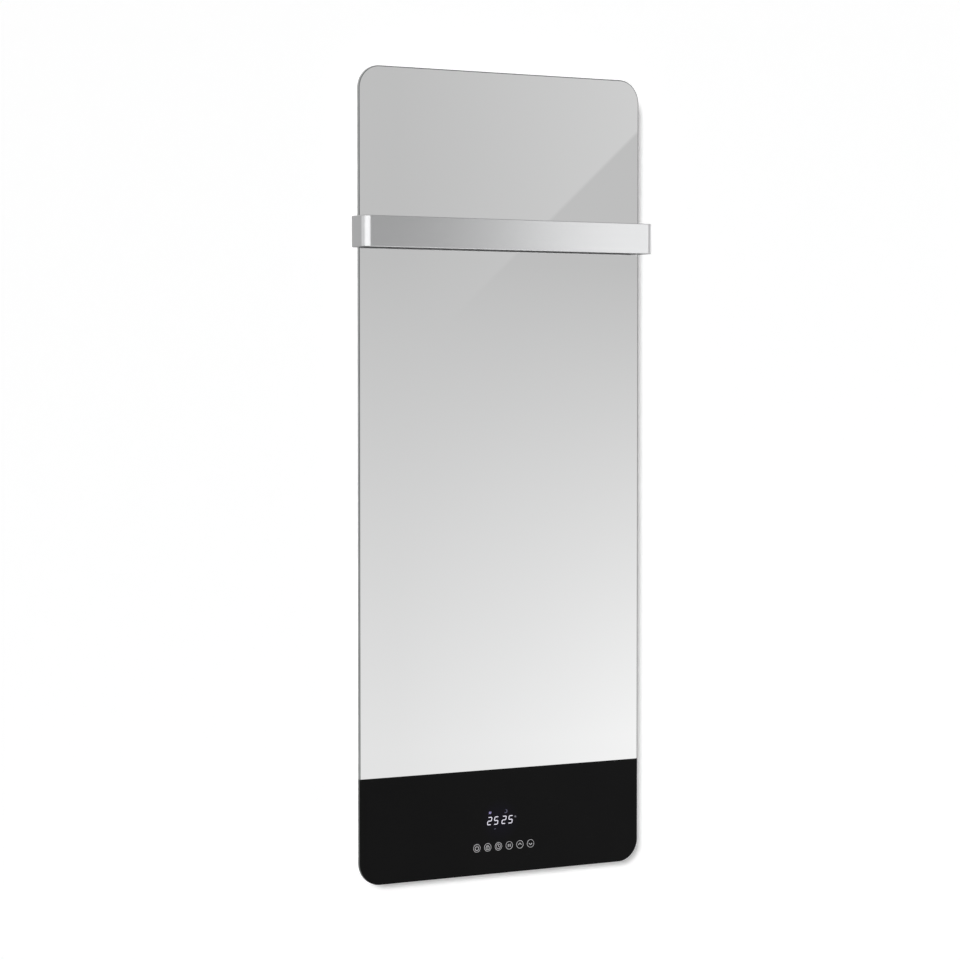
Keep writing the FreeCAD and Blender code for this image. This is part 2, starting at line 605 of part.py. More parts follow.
def make_insulation_mat():
    """The mat between film and tray, with pockets for the stud nuts and the cut-out."""
    half_width = INSULATION_WIDTH / 2
    mat = block((-half_width, half_width), (FILM_BACK_Y, TRAY_FLOOR_Y),
                (above_bottom(INSULATION_LOW), above_bottom(INSULATION_HIGH)))
    pocket_radius = STUD_NUT_FLATS / math.sqrt(3) + THREAD_PAST_NUT
    pocket_start = TRAY_FLOOR_Y - STUD_NUT_HEIGHT - 2 * THREAD_PAST_NUT
    pockets = [rod(pocket_radius, (x, pocket_start, z), (x, TRAY_FLOOR_Y, z)) for x, z in stud_places()]
    half_notch = CUTOUT_RADIUS + CUTOUT_POCKET
    pocket_back = FILM_BACK_Y + CUTOUT_HEIGHT + CUTOUT_POCKET
    pockets.append(block((-half_notch, half_notch), (FILM_BACK_Y, pocket_back),
                         (above_bottom(INSULATION_LOW), above_bottom(CUTOUT_RISE + half_notch))))
    return mat.cut(group(pockets))


def make_thermal_cutout():
    z = above_bottom(CUTOUT_RISE)
    return rod(CUTOUT_RADIUS, (0, FILM_BACK_Y, z), (0, FILM_BACK_Y + CUTOUT_HEIGHT, z))


def make_control_frame():
    """A plastic frame stuck to the glass; it carries the control board on its corner bosses."""
    depth = (GLASS_BACK_Y, CONTROL_BOARD_Y)
    half_width = CONTROL_WIDTH / 2
    low, high = above_bottom(CONTROL_LOW), above_bottom(CONTROL_HIGH)
    wall = CONTROL_FRAME_WALL
    frame = block((KEY_ROW_OFFSET - half_width, KEY_ROW_OFFSET + half_width), depth, (low, high))
    frame = frame.cut(block((KEY_ROW_OFFSET - half_width + wall, KEY_ROW_OFFSET + half_width - wall), depth,
                            (low + wall, high - wall)))
    bosses = [rod(BOARD_BOSS_RADIUS, (x, depth[0], z), (x, depth[1], z)) for x, z in control_corners()]
    frame = frame.fuse(bosses).removeSplitter()
    screw_start = CONTROL_BOARD_Y - BOARD_SCREW_LENGTH
    holes = [rod(BOARD_SCREW_RADIUS + SCREW_CLEARANCE, (x, screw_start, z), (x, depth[1], z))
             for x, z in control_corners()]
    return frame.cut(group(holes))


def make_control_board():
    half_width = CONTROL_WIDTH / 2
    depth = (CONTROL_BOARD_Y, CONTROL_BACK_Y)
    board = block((KEY_ROW_OFFSET - half_width, KEY_ROW_OFFSET + half_width), depth,
                  (above_bottom(CONTROL_LOW), above_bottom(CONTROL_HIGH)))
    holes = [rod(BOARD_SCREW_RADIUS + SCREW_CLEARANCE, (x, depth[0], z), (x, depth[1], z))
             for x, z in control_corners()]
    return board.cut(group(holes))


def make_control_screws():
    """Screws from behind, through the control board into the frame."""
    screws = []
    for x, z in control_corners():
        head = rod(BOARD_SCREW_HEAD_RADIUS, (x, CONTROL_BACK_Y, z), (x, CONTROL_BACK_Y + BOARD_SCREW_HEAD, z))
        shank = rod(BOARD_SCREW_RADIUS, (x, CONTROL_BOARD_Y - BOARD_SCREW_LENGTH, z), (x, CONTROL_BACK_Y, z))
        screws.append(head.fuse(shank).removeSplitter())
    return group(screws)


def make_led_display():
    z = above_bottom(DISPLAY_RISE)
    return block((DISPLAY_OFFSET - DISPLAY_WIDTH / 2, DISPLAY_OFFSET + DISPLAY_WIDTH / 2),
                 (GLASS_BACK_Y, CONTROL_BOARD_Y), (z - DISPLAY_HEIGHT / 2, z + DISPLAY_HEIGHT / 2))


def make_touch_springs():
    """Conductive sleeves that carry each touch key from the board to the glass."""
    inner = KEY_SPRING_RADIUS - KEY_SPRING_WIRE
    return group([ring(KEY_SPRING_RADIUS, inner, (x, GLASS_BACK_Y, z), (x, CONTROL_BOARD_Y, z))
                  for x, z in key_places()])


def make_power_board():
    depth = (POWER_FRONT_Y, POWER_BACK_Y)
    board = block((POWER_LEFT, POWER_RIGHT), depth, (above_bottom(POWER_LOW), above_bottom(POWER_HIGH)))
    holes = [rod(BOARD_SCREW_RADIUS + SCREW_CLEARANCE, (x, depth[0], z), (x, depth[1], z))
             for x, z in power_corners()]
    return board.cut(group(holes))


def make_board_standoffs():
    """Threaded pillars between the service cover and the power board."""
    return group([ring(BOARD_BOSS_RADIUS, BOARD_SCREW_RADIUS + SCREW_CLEARANCE,
                       (x, POWER_BACK_Y, z), (x, TRAY_BACK_Y, z)) for x, z in power_corners()])


def make_board_screws():
    """Screws from the front, through the power board into its stand-offs."""
    screws = []
    for x, z in power_corners():
        head = rod(BOARD_SCREW_HEAD_RADIUS, (x, POWER_FRONT_Y - BOARD_SCREW_HEAD, z), (x, POWER_FRONT_Y, z))
        shank = rod(BOARD_SCREW_RADIUS, (x, POWER_FRONT_Y, z), (x, POWER_BACK_Y + BOARD_SCREW_LENGTH, z))
        screws.append(head.fuse(shank).removeSplitter())
    return group(screws)


def component_row():
    """Left edge of each component along the power board, from the terminal block rightwards."""
    names = ("terminal_block", "fuse", "relay", "transformer", "capacitor", "connector")
    left = POWER_LEFT + 2 * BOARD_BOSS_RADIUS
    places = {}
    for name, width in zip(names, ROW_WIDTHS):
        places[name] = left
        left += width + COMPONENT_GAP
    return places


def board_block(left, size):
    """A component standing on the power board, centred on its height."""
    middle = above_bottom((POWER_LOW + POWER_HIGH) / 2)
    return block((left, left + size[0]), (POWER_FRONT_Y - size[1], POWER_FRONT_Y),
                 (middle - size[2] / 2, middle + size[2] / 2))


def make_relay():
    return board_block(component_row()["relay"], RELAY_SIZE)


def make_transformer():
    return board_block(component_row()["transformer"], TRANSFORMER_SIZE)


def make_capacitor():
    x = component_row()["capacitor"] + CAPACITOR_RADIUS
    z = above_bottom((POWER_LOW + POWER_HIGH) / 2)
    return rod(CAPACITOR_RADIUS, (x, POWER_FRONT_Y - CAPACITOR_HEIGHT, z), (x, POWER_FRONT_Y, z))


def make_terminal_block():
    """Three poles, each with a screw well in front and a wire entry to the left."""
    left = component_row()["terminal_block"]
    body = board_block(left, TERMINAL_SIZE)
    front_y = POWER_FRONT_Y - TERMINAL_SIZE[1]
    middle = above_bottom((POWER_LOW + POWER_HIGH) / 2)
    pitch = TERMINAL_SIZE[2] / TERMINAL_COUNT
    x = left + TERMINAL_SIZE[0] / 2
    entry_y = POWER_FRONT_Y - TERMINAL_ENTRY_RISE
    half_entry = TERMINAL_ENTRY_SIZE / 2
    cuts = []
    for pole in range(TERMINAL_COUNT):
        z = middle + (pole - (TERMINAL_COUNT - 1) / 2) * pitch
        cuts.append(rod(TERMINAL_SCREW_RADIUS, (x, front_y, z), (x, front_y + TERMINAL_SCREW_RADIUS, z)))
        cuts.append(block((left, x), (entry_y - half_entry, entry_y + half_entry),
                          (z - half_entry, z + half_entry)))
    return body.cut(group(cuts))


def make_board_connector():
    """The plug-on connector at the board's right end, where the switch leads arrive."""
    return board_block(component_row()["connector"], CONNECTOR_SIZE)


def fuse_centre():
    x = component_row()["fuse"] + FUSE_CLIP_RADIUS
    y = POWER_FRONT_Y - FUSE_CLIP_RADIUS
    return x, y, above_bottom((POWER_LOW + POWER_HIGH) / 2)


def make_fuse():
    x, y, z = fuse_centre()
    return rod(FUSE_RADIUS, (x, y, z - FUSE_LENGTH / 2), (x, y, z + FUSE_LENGTH / 2))


def make_fuse_clips():
    """A U-shaped clip on the board at each end of the fuse."""
    x, y, z = fuse_centre()
    outer = FUSE_CLIP_RADIUS
    clips = []
    for side in (-1, 1):
        z_middle = z + side * (FUSE_LENGTH - FUSE_CLIP_WIDTH) / 2
        z_range = (z_middle - FUSE_CLIP_WIDTH / 2, z_middle + FUSE_CLIP_WIDTH / 2)
        clip = block((x - outer, x + outer), (y, POWER_FRONT_Y), z_range)
        groove = rod(FUSE_RADIUS + SCREW_CLEARANCE, (x, y, z_range[0]), (x, y, z_range[1]))
        clips.append(clip.cut(groove))
    return group(clips)


def make_ribbon_cable():
    """A flat cable from the back of the control board up to the front of the power board."""
    start_z = above_bottom(CONTROL_HIGH - RIBBON_CONTROL_INSET)
    end_z = above_bottom(POWER_LOW + RIBBON_POWER_INSET)
    bend = (POWER_FRONT_Y - CONTROL_BACK_Y) / 2
    x = KEY_ROW_OFFSET - RIBBON_WIDTH / 2
    middle_y = CONTROL_BACK_Y + bend
    points = [FreeCAD.Vector(x, CONTROL_BACK_Y, start_z), FreeCAD.Vector(x, middle_y, start_z),
              FreeCAD.Vector(x, middle_y, end_z), FreeCAD.Vector(x, POWER_FRONT_Y, end_z)]
    return strip(points, [0, bend, bend, 0], RIBBON_THICK, X_AXIS, X_AXIS * RIBBON_WIDTH)


def make_heater_leads():
    """A lead from each bus bar's tail across to the power board's upper corner."""
    bend = (POWER_FRONT_Y - FILM_BACK_Y) / 2
    middle_y = FILM_BACK_Y + bend
    z = above_bottom(LEAD_RISE)
    leads = []
    for bus_x, board_x in ((-BUS_X, POWER_LEFT + LEAD_INSET), (BUS_X, POWER_RIGHT - LEAD_INSET)):
        points = [FreeCAD.Vector(bus_x, FILM_BACK_Y, z), FreeCAD.Vector(bus_x, middle_y, z),
                  FreeCAD.Vector(board_x, middle_y, z), FreeCAD.Vector(board_x, POWER_FRONT_Y, z)]
        leads.append(tube(points, bend, LEAD_RADIUS))
    return group(leads)


def make_electronics_cover():
    """The screwed plate that closes the service opening from behind."""
    depth = (TRAY_BACK_Y, TRAY_BACK_Y + COVER_THICK)
    middle = above_bottom((OPENING_LOW + OPENING_HIGH) / 2)
    cover = plate(OPENING_WIDTH + 2 * COVER_OVERLAP, OPENING_HIGH - OPENING_LOW + 2 * COVER_OVERLAP,
                  COVER_OVERLAP / 2, depth, KEY_ROW_OFFSET, middle)
    holes = [rod(COVER_SCREW_RADIUS + SCREW_CLEARANCE, (x, depth[0], z), (x, depth[1], z))
             for x, z in cover_screw_places()]
    return cover.cut(group(holes))


def make_cover_screws():
    face_y = TRAY_BACK_Y + COVER_THICK
    screws = []
    for x, z in cover_screw_places():
        head = rod(COVER_SCREW_HEAD_RADIUS, (x, face_y, z), (x, face_y + COVER_SCREW_HEAD, z))
        shank = rod(COVER_SCREW_RADIUS, (x, face_y - COVER_SCREW_LENGTH, z), (x, face_y, z))
        screws.append(head.fuse(shank).removeSplitter())
    return group(screws)


def switch_body_half_sizes():
    return SWITCH_LENGTH / 2 - SWITCH_RIM, SWITCH_WIDTH / 2 - SWITCH_RIM


def rocker_pivot():
    return FreeCAD.Vector(SWITCH_X, TRAY_MIDDLE_Y, TRAY_BOTTOM_Z - SWITCH_FLANGE + ROCKER_PIN_RISE)


def make_switch_housing():
    """A snap-in housing: flange under the tray, body above it, well for the rocker."""
    pivot = rocker_pivot()
    half_length, half_width = switch_body_half_sizes()
    x_range = (pivot.x - SWITCH_LENGTH / 2, pivot.x + SWITCH_LENGTH / 2)
    y_range = (pivot.y - SWITCH_WIDTH / 2, pivot.y + SWITCH_WIDTH / 2)
    bottom_z = TRAY_BOTTOM_Z - SWITCH_FLANGE
    housing = block(x_range, y_range, (bottom_z, TRAY_BOTTOM_Z))
    housing = housing.fuse(block((pivot.x - half_length, pivot.x + half_length),
                                 (pivot.y - half_width, pivot.y + half_width),
                                 (TRAY_BOTTOM_Z, TRAY_BOTTOM_Z + SWITCH_BODY_HEIGHT))).removeSplitter()
    well_length = half_length - SWITCH_WALL
    well_width = half_width - SWITCH_WALL
    roof_z = pivot.z + ROCKER_ROOT + ROCKER_SWING_ROOM
    well = block((pivot.x - well_length, pivot.x + well_length), (pivot.y - well_width, pivot.y + well_width),
                 (bottom_z, roof_z))
    bearing = rod(ROCKER_PIN_RADIUS + PIVOT_CLEARANCE, (pivot.x, pivot.y - half_width, pivot.z),
                  (pivot.x, pivot.y + half_width, pivot.z))
    return housing.cut(well).cut(bearing)


def make_switch_rocker():
    """A dished rocker on two pins, drawn pressed in at its right end: switched on."""
    pivot = rocker_pivot()
    half_length, half_width = switch_body_half_sizes()
    reach = half_length - SWITCH_WALL - ROCKER_END_GAP
    thickness = half_width - SWITCH_WALL - ROCKER_SIDE_GAP
    outline = [(-reach, ROCKER_ROOT), (reach, ROCKER_ROOT), (reach, -ROCKER_CROWN),
               (0, -ROCKER_DIP), (-reach, -ROCKER_CROWN)]
    corners = [pivot + FreeCAD.Vector(x, -thickness, z) for x, z in outline]
    rocker = Part.Face(Part.makePolygon(corners + corners[:1])).extrude(Y_AXIS * 2 * thickness)
    pins = rod(ROCKER_PIN_RADIUS, (pivot.x, pivot.y - half_width, pivot.z),
               (pivot.x, pivot.y + half_width, pivot.z))
    rocker = rocker.fuse(pins).removeSplitter()
    rocker.rotate(pivot, Y_AXIS, -ROCKER_TILT)
    return rocker


def switch_blade_columns():
    """The two blades stand side by side along the switch, in the middle of the tray's depth."""
    return [SWITCH_X + side * BLADE_SPACING for side in (-0.5, 0.5)]


def make_switch_blades():
    base_z = TRAY_BOTTOM_Z + SWITCH_BODY_HEIGHT
    blades = []
    y_range = (TRAY_MIDDLE_Y - BLADE_WIDTH / 2, TRAY_MIDDLE_Y + BLADE_WIDTH / 2)
    for x in switch_blade_columns():
        blades.append(block((x - BLADE_THICK / 2, x + BLADE_THICK / 2), y_range,
                            (base_z, base_z + BLADE_LENGTH)))
    return group(blades)


def make_switch_leads():
    """Leads that rise from the blades and bend over to the power board's connector."""
    start_z = TRAY_BOTTOM_Z + SWITCH_BODY_HEIGHT + BLADE_LENGTH
    middle = above_bottom((POWER_LOW + POWER_HIGH) / 2)
    connector_y = POWER_FRONT_Y - CONNECTOR_SIZE[1] / 2
    leads = []
    for step, x in zip((-0.5, 0.5), switch_blade_columns()):
        end_z = middle + step * SWITCH_LEAD_PITCH
        points = [FreeCAD.Vector(x, connector_y, start_z), FreeCAD.Vector(x, connector_y, end_z),
                  FreeCAD.Vector(POWER_RIGHT, connector_y, end_z)]
        bend = LEAD_BEND_FILL * min(x - POWER_RIGHT, end_z - start_z)
        leads.append(tube(points, bend, LEAD_RADIUS))
    return group(leads)


def make_cable_gland():
    """Thread through the tray's wall, hexagon below it, then a rounded clamping dome."""
    x, y = GLAND_X, TRAY_MIDDLE_Y
    hex_z = TRAY_BOTTOM_Z - GLAND_HEX_HEIGHT
    dome_z = hex_z - GLAND_DOME_HEIGHT
    top_z = TRAY_INNER_BOTTOM_Z + GLAND_THREAD_LENGTH
    dome = rod(GLAND_DOME_RADIUS, (x, y, dome_z), (x, y, hex_z))
    dome = dome.makeFillet(GLAND_DOME_ROUND, edges_at(dome, 2, dome_z))
    body = hexagon(GLAND_HEX_FLATS, (x, y, hex_z), (x, y, TRAY_BOTTOM_Z), Y_AXIS)
    thread = rod(GLAND_THREAD_RADIUS, (x, y, TRAY_BOTTOM_Z), (x, y, top_z))
    gland = body.fuse([dome, thread]).removeSplitter()
    return gland.cut(rod(GLAND_BORE_RADIUS, (x, y, dome_z), (x, y, top_z)))


def make_gland_nut():
    x, y = GLAND_X, TRAY_MIDDLE_Y
    ends = ((x, y, TRAY_INNER_BOTTOM_Z), (x, y, TRAY_INNER_BOTTOM_Z + GLAND_NUT_HEIGHT))
    return hexagon(GLAND_NUT_FLATS, *ends, Y_AXIS).cut(rod(GLAND_THREAD_RADIUS + SCREW_CLEARANCE, *ends))


def make_room_sensor():
    x, y = SENSOR_X, TRAY_MIDDLE_Y
    return rod(SENSOR_RADIUS, (x, y, TRAY_BOTTOM_Z - SENSOR_BELOW),
               (x, y, TRAY_INNER_BOTTOM_Z + SENSOR_ABOVE))


def make_sensor_grommet():
    """A rubber bush in the tray's wall that grips the sensor tube."""
    x, y = SENSOR_X, TRAY_MIDDLE_Y
    low_z = TRAY_BOTTOM_Z - GROMMET_THICK
    high_z = TRAY_INNER_BOTTOM_Z + GROMMET_THICK
    neck = rod(GROMMET_NECK_RADIUS, (x, y, TRAY_BOTTOM_Z), (x, y, TRAY_INNER_BOTTOM_Z))
    lower = rod(GROMMET_RADIUS, (x, y, low_z), (x, y, TRAY_BOTTOM_Z))
    upper = rod(GROMMET_RADIUS, (x, y, TRAY_INNER_BOTTOM_Z), (x, y, high_z))
    bush = neck.fuse([lower, upper]).removeSplitter()
    return bush.cut(rod(SENSOR_RADIUS + SCREW_CLEARANCE, (x, y, low_z), (x, y, high_z)))


def make_earth_stud():
    x, z = EARTH_X, above_bottom(EARTH_RISE)
    head = rod(EARTH_HEAD_RADIUS, (x, TRAY_BACK_Y, z), (x, TRAY_BACK_Y + EARTH_HEAD, z))
    shank = rod(EARTH_RADIUS, (x, TRAY_FLOOR_Y - EARTH_LENGTH, z), (x, TRAY_BACK_Y, z))
    return head.fuse(shank).removeSplitter()


def make_earth_nut():
    x, z = EARTH_X, above_bottom(EARTH_RISE)
    ends = ((x, TRAY_FLOOR_Y - EARTH_NUT_HEIGHT, z), (x, TRAY_FLOOR_Y, z))
    return hexagon(EARTH_NUT_FLATS, *ends, Z_AXIS).cut(rod(EARTH_RADIUS + SCREW_CLEARANCE, *ends))


def make_rail_strip():
    """The whole rail: across the front, round both edges of the pane and on to the tray's side walls."""
    half = RAIL_THICK / 2
    front_y = RAIL_FRONT_Y + half
    tab_y = FLANGE_BACK_Y + half
    arm_x = RAIL_ARM_X + half
    lip_x = TRAY_WIDTH / 2 + half
    low_z = RAIL_Z - RAIL_HEIGHT / 2
    right_half = [(arm_x, front_y), (arm_x, tab_y), (lip_x, tab_y), (lip_x, FLANGE_BACK_Y + RAIL_LIP)]
    left_half = [(-x, y) for x, y in right_half[::-1]]
    points = [FreeCAD.Vector(x, y, low_z) for x, y in left_half + right_half]
    front_bend = RAIL_FRONT_BEND + half
    back_bend = RAIL_BACK_BEND + half
    bends = [0, back_bend, back_bend, front_bend, front_bend, back_bend, back_bend, 0]
    rail = strip(points, bends, RAIL_THICK, Z_AXIS, Z_AXIS * RAIL_HEIGHT)
    edges = edges_at(rail, 2, low_z) + edges_at(rail, 2, low_z + RAIL_HEIGHT)
    rail = rail.makeFillet(min(RAIL_EDGE_RADIUS, EDGE_LIMIT * RAIL_THICK), edges)
    y = rail_screw_depth()
    holes = []
    for side, z in rail_screw_places():
        wall_x = side * TRAY_WIDTH / 2
        holes.append(rod(RAIL_SCREW_RADIUS + SCREW_CLEARANCE,
                         (wall_x, y, z), (wall_x + side * 2 * RAIL_THICK, y, z)))
    return rail.cut(group(holes))


def rail_front_room():
    """A block that holds the rail between its two weld seams, where the front bends start."""
    seam_x = RAIL_ARM_X - RAIL_FRONT_BEND
    return block((-seam_x, seam_x), (RAIL_FRONT_Y - RAIL_THICK, RAIL_FRONT_Y + 2 * RAIL_THICK),
                 (RAIL_Z - RAIL_HEIGHT, RAIL_Z + RAIL_HEIGHT))


def make_towel_rail():
    """The flat front that towels hang over."""
    return make_rail_strip().common(rail_front_room()).Solids[0]


def make_rail_arms():
    """Both bent ends, from the front bends to the lips on the tray's side walls."""
    return group(make_rail_strip().cut(rail_front_room()).Solids)


def make_rail_screws():
    """Screws from outside, through the rail's lip and the tray's side wall."""
    y = rail_screw_depth()
    screws = []
    for side, z in rail_screw_places():
        lip_x = TRAY_WIDTH / 2 + RAIL_THICK
        tip_x = TRAY_WIDTH / 2 - TRAY_WALL - RAIL_NUT_HEIGHT - THREAD_PAST_NUT
        head = rod(RAIL_SCREW_HEAD_RADIUS, (side * lip_x, y, z), (side * (lip_x + RAIL_SCREW_HEAD), y, z))
        shank = rod(RAIL_SCREW_RADIUS, (side * tip_x, y, z), (side * lip_x, y, z))
        screws.append(head.fuse(shank).removeSplitter())
    return group(screws)


def make_rail_nuts():
    y = rail_screw_depth()
    nuts = []
    for side, z in rail_screw_places():
        wall_x = TRAY_WIDTH / 2 - TRAY_WALL
        ends = ((side * wall_x, y, z), (side * (wall_x - RAIL_NUT_HEIGHT), y, z))
        nut = hexagon(RAIL_NUT_FLATS, *ends, Y_AXIS)
        nuts.append(nut.cut(rod(RAIL_SCREW_RADIUS + SCREW_CLEARANCE, *ends)))
    return group(nuts)


def build_parts():
    """Every node of the assembly by name."""
    lower, upper = STUD_LEVELS
    return {
        "wall_bracket_upper": make_wall_bracket(upper),
        "wall_bracket_lower": make_wall_bracket(lower),
        "hanger_studs": make_hanger_studs(),
        "hanger_nuts": make_hanger_nuts(),
        "glass_panel": make_glass_panel(),
        "edge_seal": make_edge_seal(),
        "rear_tray": make_rear_tray(),
        "wall_bumpers": make_wall_bumpers(),
        "heating_film": make_heating_film(),
        "bus_bars": make_bus_bars(),
        "insulation_mat": make_insulation_mat(),
        "thermal_cutout": make_thermal_cutout(),
        "control_frame": make_control_frame(),
        "control_board": make_control_board(),
        "control_screws": make_control_screws(),
        "led_display": make_led_display(),
        "touch_springs": make_touch_springs(),
        "power_board": make_power_board(),
        "board_standoffs": make_board_standoffs(),
        "board_screws": make_board_screws(),
        "relay": make_relay(),
        "transformer": make_transformer(),
        "capacitor": make_capacitor(),
        "terminal_block": make_terminal_block(),
        "board_connector": make_board_connector(),
        "fuse": make_fuse(),
        "fuse_clips": make_fuse_clips(),
        "ribbon_cable": make_ribbon_cable(),
        "heater_leads": make_heater_leads(),
        "electronics_cover": make_electronics_cover(),
        "cover_screws": make_cover_screws(),
        "switch_housing": make_switch_housing(),
        "switch_rocker": make_switch_rocker(),
        "switch_blades": make_switch_blades(),
        "switch_leads": make_switch_leads(),
        "cable_gland": make_cable_gland(),
        "gland_nut": make_gland_nut(),
        "room_sensor": make_room_sensor(),
        "sensor_grommet": make_sensor_grommet(),
        "earth_stud": make_earth_stud(),
        "earth_nut": make_earth_nut(),
        "towel_rail": make_towel_rail(),
        "rail_arms": make_rail_arms(),
        "rail_screws": make_rail_screws(),
        "rail_nuts": make_rail_nuts(),
    }


def main():
    os.makedirs("parts", exist_ok=True)
    for name, shape in build_parts().items():
        if not shape.isValid():
            raise ValueError(name + " is not a valid solid")
        shape.exportStep(os.path.join("parts", name + ".step"))
        print(name, len(shape.Solids), "solids", round(shape.Volume, 1), "mm3")


main()
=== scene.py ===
# %% [markdown]
# # Infrared panel heater with a towel rail
# A tall mirror glass hangs on two wall brackets, with a black touch band below and a flat metal rail
# across it. The CAD frame is loaded first, because every piece made here takes its place and size from
# it. Lengths are in metres: X runs to the right seen from the front, Y into the wall, Z up.

import json
from math import hypot, pi, radians, sqrt

import bpy
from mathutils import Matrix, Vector


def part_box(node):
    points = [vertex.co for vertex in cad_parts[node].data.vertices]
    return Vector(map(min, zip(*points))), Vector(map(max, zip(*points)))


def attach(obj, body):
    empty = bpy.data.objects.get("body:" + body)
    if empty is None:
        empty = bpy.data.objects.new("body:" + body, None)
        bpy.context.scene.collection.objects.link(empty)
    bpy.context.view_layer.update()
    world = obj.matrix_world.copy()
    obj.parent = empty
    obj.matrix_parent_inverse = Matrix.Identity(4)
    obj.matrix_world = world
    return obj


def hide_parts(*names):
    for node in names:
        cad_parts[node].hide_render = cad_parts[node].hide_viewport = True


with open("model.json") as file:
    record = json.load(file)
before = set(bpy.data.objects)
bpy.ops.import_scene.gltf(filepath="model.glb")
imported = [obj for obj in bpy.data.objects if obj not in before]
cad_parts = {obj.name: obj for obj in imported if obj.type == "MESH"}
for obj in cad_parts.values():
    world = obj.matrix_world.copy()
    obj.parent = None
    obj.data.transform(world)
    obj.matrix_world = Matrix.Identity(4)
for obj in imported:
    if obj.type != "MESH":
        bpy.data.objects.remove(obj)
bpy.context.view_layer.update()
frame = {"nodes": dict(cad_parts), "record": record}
cad_nodes = frame["nodes"]
MM = 0.001
QUARTER_TURN = radians(90)

# %% [markdown]
# ## Camera
# The heater was photographed from a little left of its middle, with a long lens from over four metres
# away. A camera could be aimed with a constraint, but a plain place and two angles are easier to read and
# to repeat. The tilt makes the upright edges lean as they do in a real picture, so the lens needs no
# shift.

# %% Camera
pane_low, pane_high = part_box("glass_panel")
PANE_FRONT = pane_low.y
PANE_BOTTOM = pane_low.z
PANE_MIDDLE = Vector((0, PANE_FRONT, (pane_low.z + pane_high.z) / 2))
CAMERA_FROM_PANE = Vector((-2.225, -3.753, 0.139))
CAMERA_TILT = radians(88.072)
CAMERA_TURN = radians(-30.22)
CAMERA_LENS = 109.18
SENSOR_WIDTH = 36

bpy.ops.object.select_all(action="DESELECT")
bpy.ops.object.camera_add(location=PANE_MIDDLE + CAMERA_FROM_PANE, rotation=(CAMERA_TILT, 0, CAMERA_TURN))
camera = bpy.context.object
camera.data.lens = CAMERA_LENS
camera.data.sensor_width = SENSOR_WIDTH
bpy.context.scene.camera = camera
bpy.context.scene.view_settings.view_transform = "Standard"
print("camera at", [round(value, 3) for value in camera.location])

# %% [markdown]
# ## Helpers for node trees
# A material is a small network. These helpers add one node, set its plain values and join it to others,
# so that each finish further down reads as a short recipe. An input is named by its place, i0 for the
# first, or by its label, with _ for a space.


# %% Node helpers
def add_node(tree, kind, **settings):
    """Add a shader node and set its own properties."""
    node = tree.nodes.new("ShaderNode" + kind)
    for name, value in settings.items():
        setattr(node, name, value)
    return node


def feed(tree, node, **inputs):
    """Give a node's inputs plain values, or join them to another node's output."""
    for name, value in inputs.items():
        socket = node.inputs[int(name[1:]) if name[1:].isdigit() else name.replace("_", " ")]
        if isinstance(value, bpy.types.NodeSocket):
            tree.links.new(value, socket)
        else:
            socket.default_value = value
    return node


def wire(tree, kind, **inputs):
    """Add a shader node and feed it."""
    return feed(tree, add_node(tree, kind), **inputs)


def sum_of(tree, operation, first, second=0.0, clamp=False):
    """One sum of numbers or sockets."""
    node = add_node(tree, "Math", operation=operation, use_clamp=clamp)
    return feed(tree, node, i0=first, i1=second).outputs[0]


def spread(tree, value, span, result=(0.0, 1.0)):
    """Map a span of one value on to another span, and stop at its ends."""
    node = wire(tree, "MapRange", i0=value, i1=span[0], i2=span[1], i3=result[0], i4=result[1])
    return node.outputs[0]


def between(tree, share, first, second):
    """A value between two, by a share from 0 to 1."""
    return wire(tree, "Mix", i0=share, i2=first, i3=second).outputs[0]


def empty_material(name):
    """A new material and its empty node tree."""
    material = bpy.data.materials.new(name)
    material.use_nodes = True
    material.node_tree.nodes.clear()
    return material, material.node_tree


print("node helpers ready")

# %% [markdown]
# ## Studio surroundings
# A mirror shows the room, so the room decides how the glass looks. The camera sees plain white. Polished
# surfaces see a soft studio: a grey upper wall that brightens towards the floor and to the right, with
# the slanting edge of a light screen high on the right, a light strip beside each arm, and a bright wall
# behind. Dull surfaces see an even light. An image of a room would do the same, but a few sums on the
# ray's direction need no file.

# %% Studio surroundings
UPPER_LEVEL = 0.59
FLOOR_LEVELS = (0.88, 1.03)
FLOOR_RISE = (-0.145, 0.048)
RIGHT_TURN = (0.545, 0.66)
SCREEN_LIFT = 0.12
SCREEN_SLOPE = 0.883
SCREEN_OFFSET = 0.478
SCREEN_EDGE = (-0.001, 0.001)
SCREEN_FOOT = (0.02, 0.06)
LOW_FADE = 0.62
LOW_RISE = (-0.75, -0.18)
STRIP_LEVEL = 1.9
STRIP_RISE = 0.05
STRIP_TURN = (-0.35, -0.05)
STRIP_REACH = (0.10, 0.28)
BEHIND_LEVELS = (0.68, 1.2)
BEHIND_RISE = (-0.5, 0.6)
BEHIND_TURN = (0.25, 0.6)
DULL_LEVEL = 0.22
LEAST_AHEAD = 0.05

